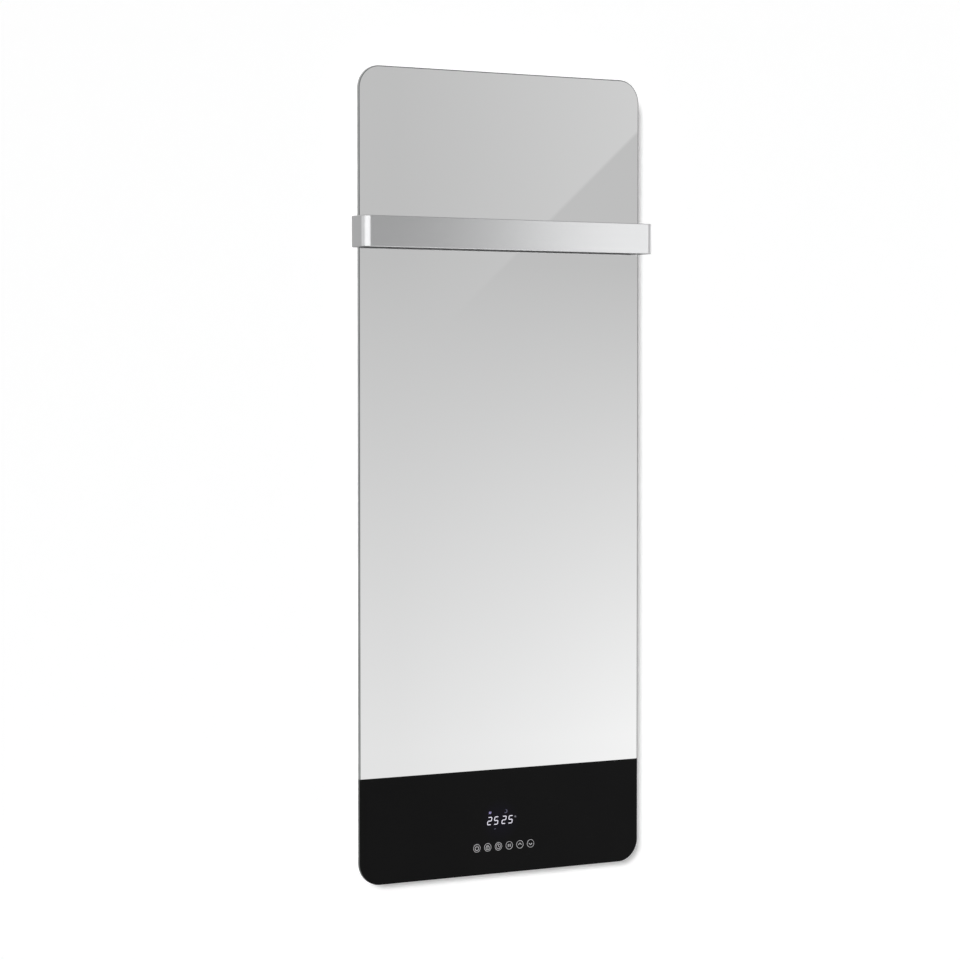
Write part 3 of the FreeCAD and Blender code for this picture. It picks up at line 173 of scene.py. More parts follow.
world = bpy.data.worlds.new("studio")
bpy.context.scene.world = world
world.use_nodes = True
sky = world.node_tree
sky.nodes.clear()
ray_kind = add_node(sky, "LightPath")
ray = add_node(sky, "TexCoord").outputs["Generated"]
ray_x, ray_y, ray_z = wire(sky, "SeparateXYZ", i0=ray).outputs
ahead = sum_of(sky, "MAXIMUM", sum_of(sky, "MULTIPLY", ray_y, -1.0), LEAST_AHEAD)
across = sum_of(sky, "DIVIDE", ray_x, ahead)
rise = sum_of(sky, "DIVIDE", ray_z, ahead)
floor_level = spread(sky, across, RIGHT_TURN, FLOOR_LEVELS)
wall_level = spread(sky, rise, FLOOR_RISE, (floor_level, UPPER_LEVEL))
edge = sum_of(sky, "ADD", sum_of(sky, "MULTIPLY", across, -SCREEN_SLOPE), SCREEN_OFFSET)
above_edge = spread(sky, sum_of(sky, "ADD", edge, rise), SCREEN_EDGE)
lift = sum_of(sky, "MULTIPLY", above_edge, spread(sky, across, RIGHT_TURN, (0.0, SCREEN_LIFT)))
screen = sum_of(sky, "MULTIPLY", lift, spread(sky, rise, SCREEN_FOOT))
lit_level = sum_of(sky, "ADD", wall_level, screen)
front_level = sum_of(sky, "MULTIPLY", lit_level, spread(sky, rise, LOW_RISE, (LOW_FADE, 1.0)))
strip_height = sum_of(sky, "ABSOLUTE", sum_of(sky, "SUBTRACT", ray_z, STRIP_RISE))
strip_side = spread(sky, ray_y, STRIP_TURN)
strip = sum_of(sky, "MULTIPLY", strip_side, spread(sky, strip_height, STRIP_REACH, (1.0, 0.0)))
with_strip = between(sky, strip, front_level, STRIP_LEVEL)
behind_level = spread(sky, ray_z, BEHIND_RISE, BEHIND_LEVELS)
mirrored = between(sky, spread(sky, ray_y, BEHIND_TURN), with_strip, behind_level)
seen = between(sky, ray_kind.outputs["Is Glossy Ray"], DULL_LEVEL, mirrored)
shown = between(sky, ray_kind.outputs["Is Camera Ray"], seen, 1.0)
background = wire(sky, "Background", Color=shown)
wire(sky, "OutputWorld", Surface=background.outputs[0])
print("surroundings:", len(sky.nodes), "nodes")

# %% [markdown]
# ## Floor and wall
# The heater hangs a quarter of a metre over a plain pale floor, on a plain wall that takes its soft
# shadow. To the camera they give a little light of their own, so that they stay white where no shadow
# falls. Both are seen from one side only, so that the back and the underside can be looked at too, and
# the wall lets all but the camera's rays through, so that the lamp behind reaches the tray.

# %% Floor and wall
FLOOR_DROP = 0.25
STAGE_SPAN = 30.0
WALL_GAP = 1 * MM
FLOOR_WHITE, FLOOR_GLOW = 0.5, 0.78
WALL_WHITE, WALL_GLOW = 0.9, 0.24


def stage_paint(name, white, own_glow, camera_only):
    """White paint that keeps a shadow, see-through for polished surfaces and from behind."""
    material, tree = empty_material(name)
    kind = add_node(tree, "LightPath")
    to_camera = kind.outputs["Is Camera Ray"]
    paint = wire(tree, "BsdfDiffuse", Color=(white, white, white, 1))
    glow = wire(tree, "Emission", Strength=sum_of(tree, "MULTIPLY", to_camera, own_glow))
    both = wire(tree, "AddShader", i0=paint.outputs[0], i1=glow.outputs[0])
    clear = add_node(tree, "BsdfTransparent")
    side = add_node(tree, "NewGeometry")
    solid = to_camera if camera_only else sum_of(tree, "SUBTRACT", 1.0, kind.outputs["Is Glossy Ray"])
    facing = sum_of(tree, "SUBTRACT", solid, side.outputs["Backfacing"], clamp=True)
    pick_one = wire(tree, "MixShader", i0=facing, i1=clear.outputs[0], i2=both.outputs[0])
    wire(tree, "OutputMaterial", Surface=pick_one.outputs[0])
    return material


bpy.ops.object.select_all(action="DESELECT")
bpy.ops.mesh.primitive_plane_add(size=STAGE_SPAN, location=(0, 0, PANE_BOTTOM - FLOOR_DROP))
floor = bpy.context.object
floor.name = "stage_floor"
floor.data.materials.append(stage_paint("floor_paint", FLOOR_WHITE, FLOOR_GLOW, False))
bpy.ops.mesh.primitive_plane_add(size=STAGE_SPAN, rotation=(QUARTER_TURN, 0, 0), location=(0, WALL_GAP, 0))
wall = bpy.context.object
wall.name = "stage_wall"
wall.data.materials.append(stage_paint("wall_paint", WALL_WHITE, WALL_GLOW, True))
print("stage:", floor.name, wall.name)

# %% [markdown]
# ## Lamps
# A far key lamp from the upper left throws the narrow shadow along the right and lower edges; a sun lamp
# does that evenly, and its angle sets how soft the shadow is. Polished surfaces don't show it. A wide
# soft box on the left draws the broad bright line down the rail's bend, one on the right brightens the
# rail's far end, a low one draws a fine line along its lower edge, and one behind lights the tray. The
# camera sees none of them.

# %% Lamps
KEY_PLACE = (-2, -3, 1)
KEY_TURN, KEY_HEIGHT = radians(37.5), radians(14)
KEY_LEVEL, KEY_SOFTNESS = 2.5, radians(9)
RAIL_LEFT, RAIL_RIGHT, RAIL_FOOT = (-0.246, -0.075, 0.37), (0.24, -0.08, 0.37), (0, -0.08, 0.34)


def soft_box(name, place, aim, width, height, level):
    """A soft box that shines on a point; its level is how bright its face looks."""
    bpy.ops.object.select_all(action="DESELECT")
    turn = (Vector(aim) - Vector(place)).to_track_quat("-Z", "Y").to_euler()
    bpy.ops.object.light_add(type="AREA", location=place, rotation=turn)
    lamp = bpy.context.object
    lamp.name = name
    lamp.data.shape = "RECTANGLE"
    lamp.data.size = width
    lamp.data.size_y = height
    lamp.data.energy = level * pi * width * height
    lamp.visible_camera = False
    return lamp


bpy.ops.object.select_all(action="DESELECT")
bpy.ops.object.light_add(type="SUN", location=KEY_PLACE, rotation=(QUARTER_TURN - KEY_HEIGHT, 0, -KEY_TURN))
key_lamp = bpy.context.object
key_lamp.name = "lamp_key"
key_lamp.data.energy = KEY_LEVEL
key_lamp.data.angle = KEY_SOFTNESS
key_lamp.visible_glossy = False
lamp_left = soft_box("lamp_left", (-1.22, -1.59, 0.45), RAIL_LEFT, width=2.9, height=0.8, level=2.36)
lamp_right = soft_box("lamp_right", (1.34, -1.41, 0.455), RAIL_RIGHT, width=0.9, height=0.8, level=1.88)
lamp_low = soft_box("lamp_low", (0.55, -0.78, -0.5), RAIL_FOOT, width=1.6, height=0.5, level=2.9)
lamp_behind = soft_box("lamp_behind", (0.9, 2.0, 0.9), (0, 0, 0), width=1.4, height=1.4, level=6.5)
lamp_behind.visible_glossy = False

# %% [markdown]
# ## Helpers for modelling
# Every new piece starts as a primitive. Its place and size go into its mesh straight away, so that the
# object sits at the origin as the CAD nodes do, and a pattern on object coordinates stays where it is.
# Edges and faces are then chosen in code by where they lie, as a modeller would click on them.

# %% Modelling helpers
TINY = 1e-6
FLAT = 0.99


def start_piece(name, add_primitive, scale=(1, 1, 1), **settings):
    """Add a primitive with nothing else selected, and move its place, turn and size into its mesh."""
    bpy.ops.object.select_all(action="DESELECT")
    add_primitive(**settings)
    piece = bpy.context.object
    piece.scale = scale
    piece.name = name
    piece.data.name = name
    bpy.ops.object.transform_apply(location=True, rotation=True, scale=True)
    return piece


def stop_editing():
    """Leave edit mode, which writes the edits into the mesh."""
    bpy.ops.object.mode_set(mode="OBJECT")


def choose(piece, kind, wanted):
    """Go to edit mode with only the wanted vertices, edges or faces selected."""
    stop_editing()
    mesh = piece.data
    bpy.context.tool_settings.mesh_select_mode = (kind == "VERT", kind == "EDGE", kind == "FACE")
    for group in (mesh.vertices, mesh.edges, mesh.polygons):
        for part in group:
            part.select = False
    if kind == "FACE":
        for face in mesh.polygons:
            face.select = wanted(face)
    else:
        for part in mesh.vertices if kind == "VERT" else mesh.edges:
            points = [part.index] if kind == "VERT" else part.vertices
            part.select = wanted(*[mesh.vertices[index].co for index in points])
    bpy.ops.object.mode_set(mode="EDIT")


def choose_all():
    """Go to edit mode of the active piece with everything selected."""
    bpy.ops.object.mode_set(mode="EDIT")
    bpy.ops.mesh.select_all(action="SELECT")


def runs_deep(a, b):
    """True for an edge that runs straight from front to back."""
    return abs(a.x - b.x) < TINY and abs(a.z - b.z) < TINY


def looks_up(face):
    """True for a face that looks straight up."""
    return face.normal.z > FLAT


def looks_down(face):
    """True for a face that looks straight down."""
    return face.normal.z < -FLAT


def take(piece):
    """Select one object only and make it the active one."""
    bpy.ops.object.select_all(action="DESELECT")
    piece.select_set(True)
    bpy.context.view_layer.objects.active = piece


def push(offset):
    """Extrude what is selected by an offset."""
    bpy.ops.mesh.extrude_region_move(TRANSFORM_OT_translate={"value": offset})


def bevel(offset, segments, affect="EDGES"):
    """Bevel the selected edges, or the selected corners of a flat shape."""
    bpy.ops.mesh.bevel(offset=offset, segments=segments, affect=affect)


def inset(thickness, **settings):
    """Inset the selected faces."""
    bpy.ops.mesh.inset(thickness=thickness, **settings)


def close_piece(piece, smooth_angle=30):
    """Merge doubles, turn the faces outwards and smooth the gentle corners."""
    choose_all()
    bpy.ops.mesh.remove_doubles(threshold=TINY)
    bpy.ops.mesh.normals_make_consistent(inside=False)
    stop_editing()
    bpy.ops.object.shade_smooth_by_angle(angle=radians(smooth_angle))
    return piece


def apply_modifier(piece, kind, **settings):
    """Add a modifier with its settings and apply it at once."""
    modifier = piece.modifiers.new(kind.lower(), kind)
    for name, value in settings.items():
        setattr(modifier, name, value)
    bpy.ops.object.modifier_apply(modifier=modifier.name)


def round_rims(piece, width, segments, sharper_than):
    """Bevel every edge that is sharper than an angle in degrees."""
    apply_modifier(piece, "BEVEL", width=width, segments=segments, limit_method="ANGLE",
                   angle_limit=radians(sharper_than))


print("modelling helpers ready")

# %% [markdown]
# ## A recipe for finishes
# No real surface has one flat colour. This recipe lets colour and gloss drift in soft patches, and
# presses a fine grain into the surface with a bump. Image textures would be heavier and tied to a layout
# of the surface; noise on object coordinates keeps its true scale on every piece.

# %% Finish recipe
NOISE_SPAN = (0.3, 0.7)
PATCH_DETAIL = 4.0
GRAIN_DEPTH = 0.2 * MM


def new_finish(name):
    """A new material with its node tree, its shader and its object coordinates."""
    material, tree = empty_material(name)
    shader = add_node(tree, "BsdfPrincipled")
    wire(tree, "OutputMaterial", Surface=shader.outputs[0])
    return material, tree, shader, add_node(tree, "TexCoord").outputs["Object"]


def noise(tree, coordinates, scale, detail=2.0, stretch=(1, 1, 1)):
    """A noise value, finer with a larger scale, stretched along an axis with a smaller factor."""
    mapping = wire(tree, "Mapping", Vector=coordinates, Scale=stretch)
    return wire(tree, "TexNoise", Vector=mapping.outputs[0], Scale=scale, Detail=detail).outputs[0]


def blend_colours(tree, share, dark, light):
    """A colour between two, by a share from 0 to 1."""
    node = add_node(tree, "Mix", data_type="RGBA")
    return feed(tree, node, i0=share, i6=(*dark, 1), i7=(*light, 1)).outputs[2]


def press_grain(tree, shader, height, strength, depth):
    """Press a height pattern into the surface."""
    bump = wire(tree, "Bump", Strength=strength, Distance=depth, Height=height)
    feed(tree, shader, Normal=bump.outputs[0])


def mottled(name, dark, light, patch, rough, grain, strength, metal=0.0, gloss=0.5):
    """A finish with soft patches of colour and gloss and a fine grain."""
    material, tree, shader, coordinates = new_finish(name)
    patches = spread(tree, noise(tree, coordinates, patch, PATCH_DETAIL), NOISE_SPAN)
    grains = noise(tree, coordinates, grain)
    feed(tree, shader, Base_Color=blend_colours(tree, patches, dark, light), Metallic=metal,
         Roughness=spread(tree, grains, NOISE_SPAN, rough), Specular_IOR_Level=gloss)
    press_grain(tree, shader, grains, strength, GRAIN_DEPTH)
    return material


print("finish recipe ready")

# %% [markdown]
# ## Glass finishes
# The pane is one sheet of glass with several faces to the eye: the silvered mirror, the black print behind
# the control band, the polished edge, darker beside the print, and the grey paint that protects the
# silver at the back. They are materials on one piece, so the line between mirror and band stays sharp at
# any distance.

# %% Glass finishes
BAND_RISE = 157.6 * MM
GLOW_RISE = 80 * MM
GLOW_PLACE = Vector((-4 * MM, PANE_FRONT, PANE_BOTTOM + GLOW_RISE))
GLOW_REACH = (6 * MM, 34 * MM)


def silvered_glass():
    """A mirror with a faint drift in its silvering."""
    material, tree, shader, coordinates = new_finish("silvered_glass")
    drift = noise(tree, coordinates, scale=3.0, detail=3.0)
    colour = blend_colours(tree, drift, (0.862, 0.864, 0.864), (0.878, 0.88, 0.88))
    haze = spread(tree, noise(tree, coordinates, scale=9.0), (0.35, 0.65), (0.0, 0.012))
    feed(tree, shader, Base_Color=colour, Roughness=haze, Metallic=1.0)
    return material


def black_band_glass():
    """Black print under glass, with the display's violet light leaking softly round the figures."""
    material, tree, shader, coordinates = new_finish("black_band_glass")
    drift = noise(tree, coordinates, scale=14.0, detail=3.0)
    colour = blend_colours(tree, drift, (0.0035, 0.0035, 0.0037), (0.005, 0.005, 0.005))
    haze = spread(tree, noise(tree, coordinates, scale=40.0), NOISE_SPAN, (0.03, 0.06))
    away = add_node(tree, "VectorMath", operation="DISTANCE")
    feed(tree, away, i0=coordinates, i1=GLOW_PLACE)
    glow = spread(tree, away.outputs["Value"], GLOW_REACH, (1.0, 0.0))
    glow_colour = blend_colours(tree, glow, (0, 0, 0), (0.0012, 0.0008, 0.0048))
    feed(tree, shader, Base_Color=colour, Roughness=haze, Specular_IOR_Level=0.062,
         Emission_Color=glow_colour, Emission_Strength=1.0)
    return material


silver = silvered_glass()
band = black_band_glass()
polished_edge = mottled("polished_glass_edge", (0.36, 0.37, 0.367), (0.43, 0.44, 0.437),
                        patch=30, rough=(0.1, 0.22), grain=300, strength=0.05)
polished_arris = mottled("polished_glass_arris", (0.15, 0.16, 0.158), (0.19, 0.2, 0.198),
                         patch=30, rough=(0.08, 0.16), grain=300, strength=0.05, gloss=0.15)
print_edge = mottled("printed_glass_edge", (0.06, 0.065, 0.064), (0.085, 0.09, 0.089),
                     patch=30, rough=(0.1, 0.22), grain=300, strength=0.05, gloss=0.3)
back_paint = mottled("mirror_back_paint", (0.105, 0.11, 0.115), (0.135, 0.14, 0.145),
                     patch=25, rough=(0.45, 0.6), grain=900, strength=0.2)
glass_finishes = (silver, band, polished_edge, polished_arris, print_edge, back_paint)
print("glass finishes:", [material.name for material in glass_finishes])

# %% [markdown]
# ## Glass pane
# The pane is cut from float glass, its corners ground round and its front edge polished to a narrow
# slope. The silver ends a hair before that slope. A box gives the sheet; bevelling its four corner edges
# rounds it, a second small bevel makes the slope, and an inset marks the bare rim. A cut across the sheet
# then parts the front face where the black print starts.

# %% Glass pane
CORNER_RADIUS, CORNER_STEPS = 34 * MM, 24
ARRIS = 0.6 * MM
BARE_RIM = 0.8 * MM
LARGEST_RIM_AREA = 0.01
SIDE_LEAN = 0.1

pane = start_piece("mirror_pane", bpy.ops.mesh.primitive_cube_add, pane_high - pane_low, size=1,
                   location=(pane_low + pane_high) / 2)
choose(pane, "EDGE", runs_deep)
bevel(CORNER_RADIUS, segments=CORNER_STEPS)
choose(pane, "EDGE", lambda a, b: max(a.y, b.y) < PANE_FRONT + TINY)
bevel(ARRIS, segments=1)
choose(pane, "FACE", lambda face: face.normal.y < -FLAT)
inset(BARE_RIM)
choose_all()
bpy.ops.mesh.bisect(plane_co=(0, 0, PANE_BOTTOM + BAND_RISE), plane_no=(0, 0, 1))
close_piece(pane)
for material in glass_finishes:
    pane.data.materials.append(material)


def face_finish(face):
    """The finish of one face, by the way it looks and by the print behind it."""
    printed = face.center.z < PANE_BOTTOM + BAND_RISE
    if face.normal.y > FLAT:
        return back_paint
    if abs(face.normal.y) < SIDE_LEAN:
        return print_edge if printed else polished_edge
    if printed:
        return band
    return silver if face.area > LARGEST_RIM_AREA else polished_arris


for face in pane.data.polygons:
    face.material_index = glass_finishes.index(face_finish(face))
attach(pane, "panel")
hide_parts("glass_panel")
print("pane:", len(pane.data.polygons), "faces")

# %% [markdown]
# ## Satin metal
# The rail is aluminium, brushed along its length and anodised: bright, but too dull to mirror anything
# sharply. The brushing is a noise that is very fine across the strip and long along it. It mostly varies
# the gloss, and its bump is so shallow that from a step away the strip looks smooth.

# %% Satin metal
BRUSH_STRETCH = (0.05, 0.05, 40)
BRUSH_DEPTH = 0.02 * MM


def satin_aluminium():
    """Anodised metal with fine lines along the strip."""
    material, tree, shader, coordinates = new_finish("satin_aluminium")
    lines = noise(tree, coordinates, scale=90, stretch=BRUSH_STRETCH)
    drift = noise(tree, coordinates, scale=6.0)
    colour = blend_colours(tree, drift, (0.378, 0.38, 0.384), (0.402, 0.404, 0.407))
    sheen = spread(tree, lines, NOISE_SPAN, (0.28, 0.33))
    feed(tree, shader, Base_Color=colour, Roughness=sheen, Metallic=1.0)
    press_grain(tree, shader, lines, strength=0.015, depth=BRUSH_DEPTH)
    return material


satin = satin_aluminium()
print("rail finish:", satin.name)

# %% [markdown]
# ## Towel rail
# On the real heater a flat bar is bent round both edges of the pane and screwed to the tray behind. It is
# drawn here as a press would bend it: the strip's cross-section is pushed along, spun round each bend and
# pushed on to its end. Half of it is enough, because a mirror modifier adds the other half. A last small
# bevel takes the sharpness off the long edges, as tumbling does.

# %% Towel rail
FRONT_BEND, BACK_BEND = 10 * MM, 3 * MM
BEND_STEPS = 14
RAIL_EDGE = 0.8 * MM
LIP_LENGTH = 17 * MM
TRAY_FLANGE = 14 * MM

front_low, front_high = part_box("towel_rail")
arms_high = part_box("rail_arms")[1]
tray_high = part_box("rear_tray")[1]
rail_thick = front_high.y - front_low.y
rail_height = front_high.z - front_low.z
rail_middle_z = (front_high.z + front_low.z) / 2
arm_inside = arms_high.x - rail_thick
lip_inside = tray_high.x - TRAY_FLANGE
tab_front = arms_high.y - LIP_LENGTH
back_turn = BACK_BEND + rail_thick


def spin_section(x, y, degrees):
    """Sweep the selected end of the strip round an upright axis, to the left seen from above."""
    bpy.ops.mesh.spin(steps=BEND_STEPS, angle=radians(degrees), center=(x, y, rail_middle_z), axis=(0, 0, -1))


rail = start_piece("towel_strip", bpy.ops.mesh.primitive_plane_add, (rail_height, rail_thick, 1), size=1,
                   rotation=(0, QUARTER_TURN, 0),
                   location=(0, (front_low.y + front_high.y) / 2, rail_middle_z))
choose_all()
push((arm_inside - FRONT_BEND, 0, 0))
spin_section(arm_inside - FRONT_BEND, front_high.y + FRONT_BEND, 90)
push((0, tab_front - BACK_BEND - front_high.y - FRONT_BEND, 0))
spin_section(arm_inside - BACK_BEND, tab_front - BACK_BEND, 90)
push((lip_inside + back_turn - arm_inside + BACK_BEND, 0, 0))
spin_section(lip_inside + back_turn, tab_front + back_turn, -90)
push((0, arms_high.y - tab_front - back_turn, 0))
choose(rail, "FACE", lambda face: abs(face.center.x) < TINY)
bpy.ops.mesh.delete(type="FACE")
stop_editing()
apply_modifier(rail, "MIRROR", use_axis=(True, False, False), use_clip=True)
close_piece(rail)
round_rims(rail, RAIL_EDGE, segments=3, sharper_than=60)
close_piece(rail, smooth_angle=40)
rail.data.materials.append(satin)
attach(rail, "panel")
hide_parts("towel_rail", "rail_arms")
print("rail:", len(rail.data.polygons), "faces")

# %% [markdown]
# ## Lamps for the rail alone
# A photographer flags a lamp, so that it reaches the metal and not the mirror. Here the three soft boxes
# in front are linked to the rail: they draw its highlights, and the mirror shows only the even room from
# every side. The key lamp shines past the rail, so that the rail throws no patch of shadow on the wall.

# %% Lamps for the rail alone
rail_only = bpy.data.collections.new("rail_only")
rail_only.objects.link(rail)
for lamp in (lamp_left, lamp_right, lamp_low):
    lamp.light_linking.receiver_collection = rail_only
no_rail = bpy.data.collections.new("no_rail")
no_rail.objects.link(rail)
no_rail.collection_objects[0].light_linking.link_state = "EXCLUDE"
key_lamp.light_linking.blocker_collection = no_rail
print("linked to the rail:", lamp_left.name, lamp_right.name, lamp_low.name, "- past it:", key_lamp.name)

# %% [markdown]
# ## Light and ink
# The figures are lit bars of a display that shines through the black print, and the key signs are pale
# ink. Lit bars give off light of their own; ink only takes the room's. Both waver a little, as a thin
# print does.


# %% Light and ink
def lit(name, dim, bright):
    """Light through the glass, a little uneven over each bar."""
    material, tree, shader, coordinates = new_finish(name)
    colour = blend_colours(tree, noise(tree, coordinates, scale=500), dim, bright)
    feed(tree, shader, Base_Color=(0.02, 0.02, 0.024, 1), Roughness=0.3, Specular_IOR_Level=0.1,
         Emission_Color=colour, Emission_Strength=1.0)
    return material


figure_light = lit("figure_light", (0.82, 0.80, 0.93), (0.94, 0.92, 1.0))
lamp_light = lit("lamp_light", (0.26, 0.23, 0.48), (0.44, 0.40, 0.72))
faint_light = lit("faint_light", (0.05, 0.05, 0.09), (0.09, 0.088, 0.14))
mark_light = lit("mark_light", (0.26, 0.26, 0.30), (0.34, 0.34, 0.38))
key_ink = mottled("key_ink", (0.46, 0.46, 0.47), (0.58, 0.58, 0.59),
                  patch=300, rough=(0.4, 0.5), grain=900, strength=0.1)
print("inks:", figure_light.name, lamp_light.name, faint_light.name, mark_light.name, key_ink.name)

# %% [markdown]
# ## Flat shapes for signs
# Every sign is built from flat bars and rings that face the front. A bar is a plane with its corners
# rounded, a ring is a filled circle with its middle inset and taken out. They are joined, pushed out by
# the thickness of a print and laid on the glass. Text could do some of it, but drawn shapes need no
# typeface. The sizes of signs are in millimetres.

# %% Flat shapes for signs
PRINT_THICK = 0.1 * MM
BAR_ROUND = 0.3
RING_SIDES = 48
TO_THE_FRONT = Vector((0, -1, 0))


def on_glass(x, rise):
    """A point of the glass face, in millimetres from the pane's middle and from its bottom edge."""
    return Vector((x * MM, PANE_FRONT, PANE_BOTTOM + rise * MM))


def flat_bar(length, width, place, lean=0):
    """A bar with rounded corners, turned up from level by lean degrees."""
    bar = start_piece("flat_bar", bpy.ops.mesh.primitive_plane_add, (length * MM, width * MM, 1), size=1,
                      rotation=(QUARTER_TURN, -radians(lean), 0), location=place)
    choose_all()
    bevel(BAR_ROUND * min(length, width) * MM, segments=3, affect="VERTICES")
    stop_editing()
    return bar


def flat_ring(radius, width, place, gap=None):
    """A ring, with a gap where the given test on a face's middle holds."""
    ring = start_piece("flat_ring", bpy.ops.mesh.primitive_circle_add, vertices=RING_SIDES,
                       radius=radius * MM, fill_type="NGON", rotation=(QUARTER_TURN, 0, 0), location=place)
    choose_all()
    inset(width * MM)
    bpy.ops.mesh.delete(type="FACE")
    if gap:
        choose(ring, "FACE", lambda face: gap((face.center - Vector(place)) / MM))
        bpy.ops.mesh.delete(type="FACE")
    stop_editing()
    return ring


def join_shapes(name, shapes):
    """One object from several."""
    take(shapes[0])
    for shape in shapes[1:]:
        shape.select_set(True)
    if len(shapes) > 1:
        bpy.ops.object.join()
    shapes[0].name = name
    shapes[0].data.name = name
    return shapes[0]


def copy_to(pattern, place, turn=(0, 0, 0)):
    """A copy of a pattern with a mesh of its own, put in place."""
    take(pattern)
    bpy.ops.object.duplicate(linked=False)
    copy = bpy.context.object
    copy.location = place
    copy.rotation_euler = turn
    bpy.ops.object.transform_apply(location=True, rotation=True, scale=True)
    return copy


def raise_print(piece, ink, outwards):
    """Push a flat shape out by the thickness of a print and give it its ink."""
    choose_all()
    push(outwards * PRINT_THICK)
    close_piece(piece)
    piece.data.materials.append(ink)


def lay_print(piece, ink):
    """Print a flat shape on the glass and let it ride with the pane."""
    raise_print(piece, ink, TO_THE_FRONT)
    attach(piece, "panel")


print("flat shapes ready")

# %% [markdown]
# ## Display figures
# The display shows the room's temperature and the set one, as two pairs of leaning figures of seven bars
# each. One level and one upright bar with pointed ends are modelled, and copied to every bar that is lit.
# Pushing each point sideways in step with its height makes the figures lean.

# %% Display figures
FIGURE_LEFT = -26.9
FIGURE_PITCH = 11.4
PAIR_PITCH = 25.1
FIGURE_FOOT = 74.0
FIGURE_WIDTH = 7.4
FIGURE_HEIGHT = 12.2
FIGURE_LEAN = 0.165
BAR_WIDTH = 1.2
BAR_GAP = 0.2
BAR_PLACES = {"top": (0.5, 1), "middle": (0.5, 0.5), "foot": (0.5, 0), "upper_left": (0, 0.75),
              "upper_right": (1, 0.75), "lower_left": (0, 0.25), "lower_right": (1, 0.25)}
LIT_BARS = {"2": ("top", "upper_right", "middle", "lower_left", "foot"),
            "5": ("top", "upper_left", "middle", "lower_right", "foot")}
READING = "2525"


def pointed_bar(length):
    """A level bar with pointed ends, at the origin."""
    half_run = (length - BAR_WIDTH - BAR_GAP) / 2 * MM
    tip = BAR_WIDTH / 2 * MM
    bar = start_piece("pointed_bar", bpy.ops.mesh.primitive_plane_add, (2 * half_run, 2 * tip, 1), size=1,
                      rotation=(QUARTER_TURN, 0, 0))
    for end in (-1, 1):
        choose(bar, "EDGE", lambda a, b: min(end * a.x, end * b.x) > half_run - TINY)
        push((end * tip, 0, 0))
        bpy.ops.mesh.merge(type="CENTER")
    stop_editing()
    return bar


def display_figure(name, figure, left, level_bar, upright_bar):
    """One leaning figure from copies of the two bars."""
    bars = []
    for bar_name in LIT_BARS[figure]:
        across, up = BAR_PLACES[bar_name]
        x = left + BAR_WIDTH / 2 + across * (FIGURE_WIDTH - BAR_WIDTH)
        rise = FIGURE_FOOT + BAR_WIDTH / 2 + up * (FIGURE_HEIGHT - BAR_WIDTH)
        level = across == 0.5
        turn = (0, 0, 0) if level else (0, QUARTER_TURN, 0)
        bars.append(copy_to(level_bar if level else upright_bar, on_glass(x, rise), turn))
    piece = join_shapes(name, bars)
    for vertex in piece.data.vertices:
        vertex.co.x += FIGURE_LEAN * (vertex.co.z - on_glass(0, FIGURE_FOOT).z)
    lay_print(piece, figure_light)


level_bar = pointed_bar(FIGURE_WIDTH - BAR_WIDTH)
upright_bar = pointed_bar((FIGURE_HEIGHT - BAR_WIDTH) / 2)
for index, figure in enumerate(READING):
    left = FIGURE_LEFT + index // 2 * PAIR_PITCH + index % 2 * FIGURE_PITCH
    display_figure(f"figure_{index + 1}", figure, left, level_bar, upright_bar)
bpy.data.objects.remove(level_bar)
bpy.data.objects.remove(upright_bar)
print("figures:", READING)

# %% [markdown]
# ## Small lamps of the display
# Beside the figures glow a degree mark, a heating lamp of three strokes, a pale night moon and a short
# dash. The moon is a ring whose inner edge is moved sideways, so that it swells on one side, with its
# thin side taken out.

# %% Small lamps of the display
degree_place = on_glass(22.6, 83.8)
HEAT_MIDDLE, HEAT_RISE, HEAT_STEP = -21.4, 92.5, 1.4
dash_place = on_glass(-12.8, 67.7)
moon_place = on_glass(6.0, 93)
MOON_RADIUS, MOON_LINE = 2.9, 0.9
MOON_SHIFT = Vector((-1.0, 0, 0.5))
MOON_SWELL, MOON_OPENING = 0.8, 1.6

lay_print(join_shapes("degree_mark", [flat_ring(radius=1.3, width=0.6, place=degree_place)]), mark_light)
strokes = [flat_bar(length=3.6, width=0.8, place=on_glass(HEAT_MIDDLE + step * HEAT_STEP, HEAT_RISE), lean=78)
           for step in (-1, 0, 1)]
lay_print(join_shapes("lamp_heat", strokes), lamp_light)
dash = flat_bar(length=3.2, width=1.0, place=dash_place, lean=10)
lay_print(join_shapes("lamp_dash", [dash]), faint_light)
moon = flat_ring(MOON_RADIUS, MOON_LINE, moon_place)
choose(moon, "VERT", lambda point: (point - moon_place).length < (MOON_RADIUS - MOON_LINE / 2) * MM)
bpy.ops.transform.translate(value=MOON_SWELL * MOON_SHIFT * MM)
choose(moon, "FACE", lambda face: (face.center - moon_place).dot(MOON_SHIFT) > MOON_OPENING * MM)
bpy.ops.mesh.delete(type="FACE")
stop_editing()
lay_print(join_shapes("lamp_moon", [moon]), faint_light)
print("small lamps: degree_mark lamp_heat lamp_dash lamp_moon")

# %% [markdown]
# ## Touch keys
# The six keys don't move: each is a fine printed ring with a plain sign, over a spring that feels a
# finger. The ring is modelled once and copied. The signs stand for on and off, child lock, timer, pause,
# warmer and cooler.

